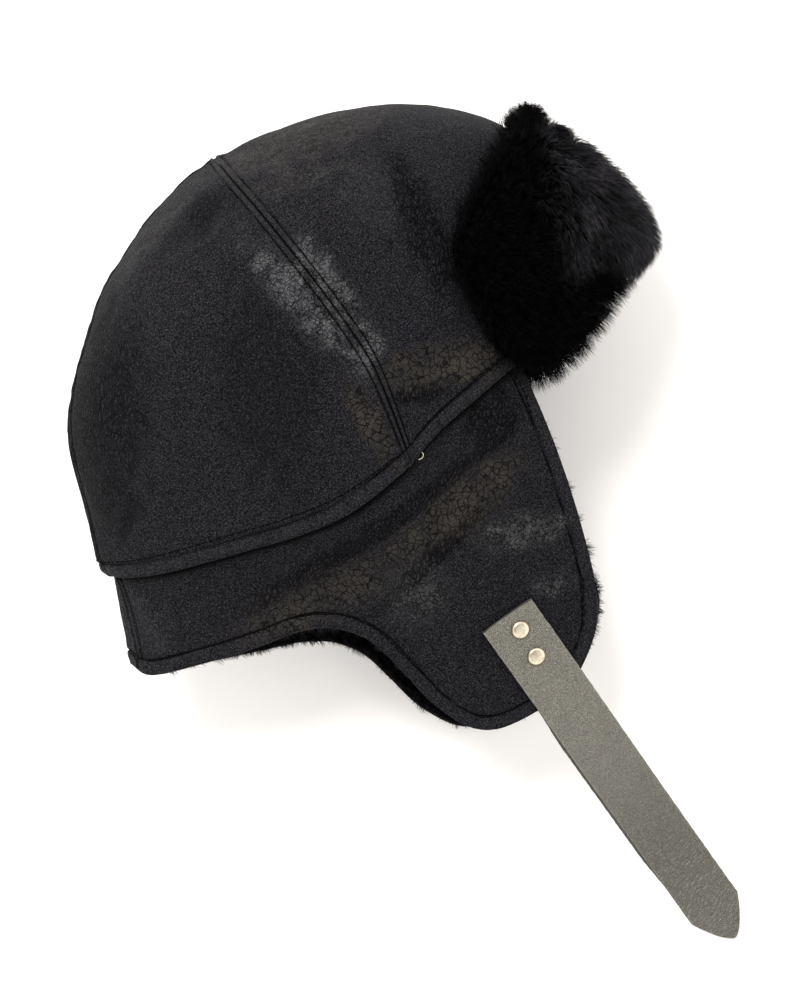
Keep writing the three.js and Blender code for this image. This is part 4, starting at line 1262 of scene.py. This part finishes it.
def leather_material():
    look = Paint("black_leather", (0.004, 0.0038, 0.0043), 0.4, 0.1)
    pushed, fine = look.pushed(6, 3.2), look.pushed(1.6, 0.9)
    brown = look.times(look.value("brown"), look.spread(look.noise(14), 0.36, 0.56, 0.4))
    polish = look.times(look.value("polish"), look.spread(look.noise(7), 0.36, 0.5, 0.4))
    # Painted shade: dark marks valleys and sides turned from the light, painted darker. line is seam gaps
    # and stitch rows, and on the skirt the painted shadow under the crown's hem.
    line, dark = look.value("line"), look.value("dark")
    shade = look.times(dark, 0.3)

    broken = look.spread(look.noise(3, 2), 0.36, 0.5, 0.4)
    crease = look.lines(fine, 1.2, 0.0, 0.2)
    crack = look.times(look.lines(pushed, 3.0, 0.02, 0.13), look.spread(brown, 0.05, 0.4))
    fine_crack = look.times(crease, look.spread(brown, 0.0, 0.5, 0.0, 0.35))
    cracked = look.times(look.most(crack, fine_crack), broken)
    web = look.most(look.lines(pushed, 2.0, 0.03, 0.19), look.times(crease, 0.6))
    webbed = look.times(web, look.spread(polish, 0.08, 0.4), broken)
    # Wrinkle lines are drawn only inside the painted shade, painted dark in their creases.
    wrinkle = look.lines(look.drawn(pushed, -30, (1, 3.2, 1)), 1.6, 0.02, 0.32)
    lines = look.most(cracked, webbed, look.times(wrinkle, look.spread(dark, 0.0, 0.4)))

    contour = look.math("ABSOLUTE", look.less(look.noise(1.5, 2), 0.5))
    gap = look.lines(fine, 1.05, 0.0, 0.24)
    pebble = look.times(look.spread(contour, 0.0, 0.045, 0.12), look.spread(gap, 0.0, 1.0, 1.0, 0.2))
    speck = look.spread(look.noise(0.7, 1), 0.36, 0.64, 0.2)
    grain = look.times(pebble, speck)

    # Painted sheen: polished grain and puffed bands are painted much lighter.
    painted_leather_sheen = look.times(look.math("POWER", polish, 1.5), look.spread(grain, 0.0, 0.5, 0.2))
    browned = look.times(brown, look.spread(speck, 0.2, 1.0, 0.5, 0.95))
    tone = look.blend(grain, (0.0009, 0.0008, 0.0012), (0.028, 0.0265, 0.0315))
    tone = look.blend(painted_leather_sheen, tone, (0.1, 0.099, 0.103))
    tone = look.blend(browned, tone, (0.042, 0.0365, 0.03))
    # The painted shade and the crack and wrinkle lines take the tone down to near black.
    tone = look.blend(look.most(shade, look.times(lines, 0.82)), tone, (0.0009, 0.0008, 0.001))
    # line paints seam gaps and stitch rows near black, and on the skirt the painted shadow under the crown's
    # hem.
    look.set("Base Color", look.blend(line, tone, (0.0002, 0.0002, 0.0002)))

    rough = look.less(look.spread(grain, 0.0, 0.7, 0.85, 0.66), look.times(polish, 0.24))
    look.set("Roughness", rough)
    # Specular Tint paints reflection out of cracks, seams, grain hollows and the painted shade, as shade in
    # those crevices; polished and brown patches keep more.
    worn = look.most(polish, look.times(brown, 0.5))
    dull = look.less(look.spread(grain, 0.0, 0.5, 0.9, 0.1), look.times(worn, 0.5))
    spec_crevice_shade = look.most(lines, line, dull, shade)
    look.set("Specular Tint", look.blend(spec_crevice_shade, (1, 1, 1), (0.03, 0.03, 0.03)))
    relief = look.math("ADD", grain, look.times(look.noise(3.2), 1.2))
    look.bump(look.less(relief, look.times(lines, 0.9)), 0.35)
    return look.material


def backing_material():
    look = Paint("backing_cloth", (0.012, 0.011, 0.011), 0.85, 0.25)
    wave = {"Vector": look.where, "Scale": 1 / (0.9 * MM) / 3.1, "Distortion": 1.5, "Detail": 2.0}
    weave = look.times(*[look.add("TexWave", wave, bands_direction=way).outputs["Fac"] for way in "XY"])
    look.set("Base Color", look.blend(weave, (0.007, 0.0065, 0.0065), (0.018, 0.017, 0.017)))
    look.bump(weave, 0.15, 0.6)
    return look.material


def thread_material():
    look = Paint("black_thread", (0.001, 0.001, 0.001), 0.8, 0.04)
    twist = look.noise(0.35, 2)
    look.set("Base Color", look.blend(twist, (0.0003, 0.0003, 0.0003), (0.0015, 0.0014, 0.0015)))
    look.bump(twist, 0.08, 0.8)
    return look.material


def cream_material():
    look = Paint("cream_thread", (0.5, 0.47, 0.3), 0.6, 0.3)
    look.set("Base Color", look.blend(look.noise(0.5, 2), (0.36, 0.33, 0.2), (0.66, 0.62, 0.42)))
    return look.material


def fur_material():
    look = Paint("black_fur", (0.002, 0.0018, 0.0022), 0.5, 0.018)
    # Painted sheen and shade: hairs are painted lighter by their sheen share towards their tips, and darker
    # towards the roots, where shade falls among them.
    patchy_fur_sheen = look.times(look.spread(look.noise(2.2, 3), 0.3, 0.7, 0.3), look.value("painted_fur_sheen"))
    shade = look.times(patchy_fur_sheen, look.value("tip"))
    look.set("Base Color", look.blend(shade, (0.0003, 0.0002, 0.0004), (0.085, 0.08, 0.088)))
    look.set("Roughness", look.spread(look.noise(5, 2), 0.3, 0.7, 0.42, 0.62))
    return look.material


def strap_material():
    look = Paint("strap_leather", (0.21, 0.2, 0.165), 0.5, 0.4)
    far, raw = look.value("far"), look.value("raw")
    grain = look.lines(look.pushed(1.6, 0.9), 0.95, 0.0, 0.26)
    speck = look.spread(look.noise(0.5, 1), 0.36, 0.64)
    creases = look.lines(look.drawn(look.pushed(4, 2.0), 24, (3.4, 1, 1)), 1.3, 0.0, 0.3)
    creased = look.times(creases, look.spread(far, 0.42, 0.7, 0.2))

    mottle = look.spread(look.noise(9, 2), 0.35, 0.65, 0.0, 0.14)
    worn_edge = look.times(raw, look.spread(look.noise(1.4), 0.4, 0.65, 0.0, 0.6))
    tone = look.blend(look.spread(far, 0.1, 0.95), (0.275, 0.26, 0.208), (0.255, 0.241, 0.192))
    tone = look.blend(mottle, tone, (0.1, 0.094, 0.076))
    tone = look.blend(look.times(grain, 0.45), tone, (0.04, 0.0375, 0.03))
    tone = look.blend(look.spread(speck, 0.0, 1.0, 0.74, 0.0), tone, (0.03, 0.0283, 0.0222))
    # Creases painted darker: painted shade in their hollows.
    tone = look.blend(look.times(creased, 0.5), tone, (0.04, 0.037, 0.03))
    look.set("Base Color", look.blend(worn_edge, tone, (0.27, 0.255, 0.21)))

    look.set("Roughness", look.spread(look.noise(4), 0.3, 0.7, 0.4, 0.52))
    low = look.math("ADD", look.times(grain, 0.6), look.times(creased, 1.0))
    relief = look.less(look.times(look.noise(6, 2), 0.5), low)
    look.bump(look.math("ADD", relief, look.times(speck, 0.5)), 0.45)
    return look.material


def suede_material():
    look = Paint("strap_suede", (0.33, 0.31, 0.26), 0.9, 0.2)
    fibres = look.noise(0.8, 5)
    look.set("Base Color", look.blend(fibres, (0.02, 0.019, 0.016), (0.07, 0.066, 0.056)))
    look.bump(fibres, 0.3, 0.8)
    return look.material


def brass_material(name, light, dark, roughness):
    look = Paint(name, light, roughness, 0.5, 0.9)
    tarnish = look.spread(look.noise(2.2, 3), 0.45, 0.8)
    look.set("Base Color", look.blend(tarnish, light, dark))
    look.bump(look.noise(0.7), 0.04, 0.5)
    return look.material


def floor_material():
    look = Paint("white_floor", (0.9, 0.875, 0.845), 0.9, 0.1)
    look.set("Emission Color", (1, 0.97, 0.94, 1))
    look.set("Emission Strength", 0.15)
    return look.material


# Stage, lights and camera

def make_floor():
    half = 3.0
    corners = [(-half, -half, 0), (half, -half, 0), (half, half, 0), (-half, half, 0)]
    mesh = bpy.data.meshes.new("floor")
    mesh.from_pydata(corners, [], [(0, 1, 2, 3)])
    mesh.materials.append(floor_material())
    linked("floor", mesh)


def make_key_light():
    light = bpy.data.lights.new("key", "AREA")
    light.shape = "DISK"
    light.size = 0.9
    light.energy = 48
    lamp = linked("key", light)
    lamp.location = KEY_PLACE
    aim = Vector(KEY_TARGET) - Vector(KEY_PLACE)
    lamp.rotation_euler = aim.to_track_quat("-Z", "Y").to_euler()


def make_world():
    """A white studio: bright walls, brightest by WINDOW_WAY, and a dark ceiling over the camera."""
    world = bpy.data.worlds.new("studio")
    world.use_nodes = True
    sky = Nodes(world.node_tree)
    background = sky.tree.nodes["Background"].inputs
    way = sky.add("TexCoord").outputs["Generated"]
    up = sky.add("SeparateXYZ", {0: way}).outputs["Z"]
    side = sky.add("VectorMath", {0: way, 1: WINDOW_WAY}, operation="DOT_PRODUCT").outputs["Value"]
    level = sky.spread(up, 0.5, 0.95, WALL_LIGHT, CEILING_LIGHT)
    sky.put(background["Strength"], sky.times(level, sky.spread(side, -1.0, 1.0, 0.85, 1.15)))
    sky.put(background["Color"], (1, 0.995, 0.99, 1))
    bpy.context.scene.world = world


def make_camera():
    camera = bpy.data.cameras.new("camera")
    camera.lens = CAMERA_LENS
    camera.clip_end = 10
    lens = linked("camera", camera)
    lens.location = CAMERA_PLACE
    lens.rotation_euler = (0, 0, math.radians(CAMERA_TURN))
    bpy.context.scene.camera = lens


# The hat

make_camera()
leathers = [leather_material(), backing_material()]
threads = [thread_material(), cream_material()]
fur = fur_material()

front_angles = columns_between(90, 270, SIDE_DEGREES, SIDE_DEGREES, 1.0)
back_angles = columns_between(BACK_SEAM_ANGLE, 90, BACK_DEGREES, SIDE_DEGREES, 1.0)
back_left_angles = columns_between(BACK_SEAM_ANGLE, -90, BACK_DEGREES, SIDE_DEGREES, 1.0)
crown_front = crown_panel("crown_front", front_angles, leathers)
crown_right = crown_panel("crown_back_right", back_angles, leathers)
crown_left = crown_panel("crown_back_left", back_left_angles, leathers)

right_angles = skirt_angles()
left_angles = left_of(right_angles)
skirt_right = skirt_panel("skirt_right", right_angles, leathers)
skirt_left = skirt_panel("skirt_left", left_angles, leathers)

seam_heights = np.linspace((HEM_STITCH + 1) / MERIDIAN, 0.97, 300)
right_seam = seam_rows(crown_front, crown_right, 90, seam_heights)
left_seam = seam_rows(crown_left, crown_front, 270, seam_heights)
hem = hem_rows([(crown_front, front_angles), (crown_right, back_angles), (crown_left, back_left_angles)])
edge = [edge_row(skirt_right, right_angles), edge_row(skirt_left, left_angles)]
loose_end = np.array([
    (20.6, -68.2, 131.6), (22, -68.4, 131.8), (23, -68, 132.2), (23.6, -67, 132.3), (23.4, -66.2, 131.6),
])
stitches("seam_stitches", right_seam + left_seam, threads)
stitches("hem_stitches", hem, threads, loose_end)
stitches("edge_stitches", edge, threads)

visor_piece(fur)
lining_piece("lining_right", right_angles, fur, 12)
lining_piece("lining_left", left_angles, fur, 13)
strap_piece([strap_material(), suede_material()])
brass = brass_material("rivet_brass", (0.62, 0.55, 0.42), (0.36, 0.29, 0.2), 0.34)
rim_brass = brass_material("rivet_rim", (0.2, 0.155, 0.09), (0.09, 0.065, 0.035), 0.5)
for rivet in RIVETS:
    rivet_piece(rivet, [brass, rim_brass])

make_floor()
make_world()
make_key_light()
bpy.context.scene.view_settings.view_transform = "Standard"
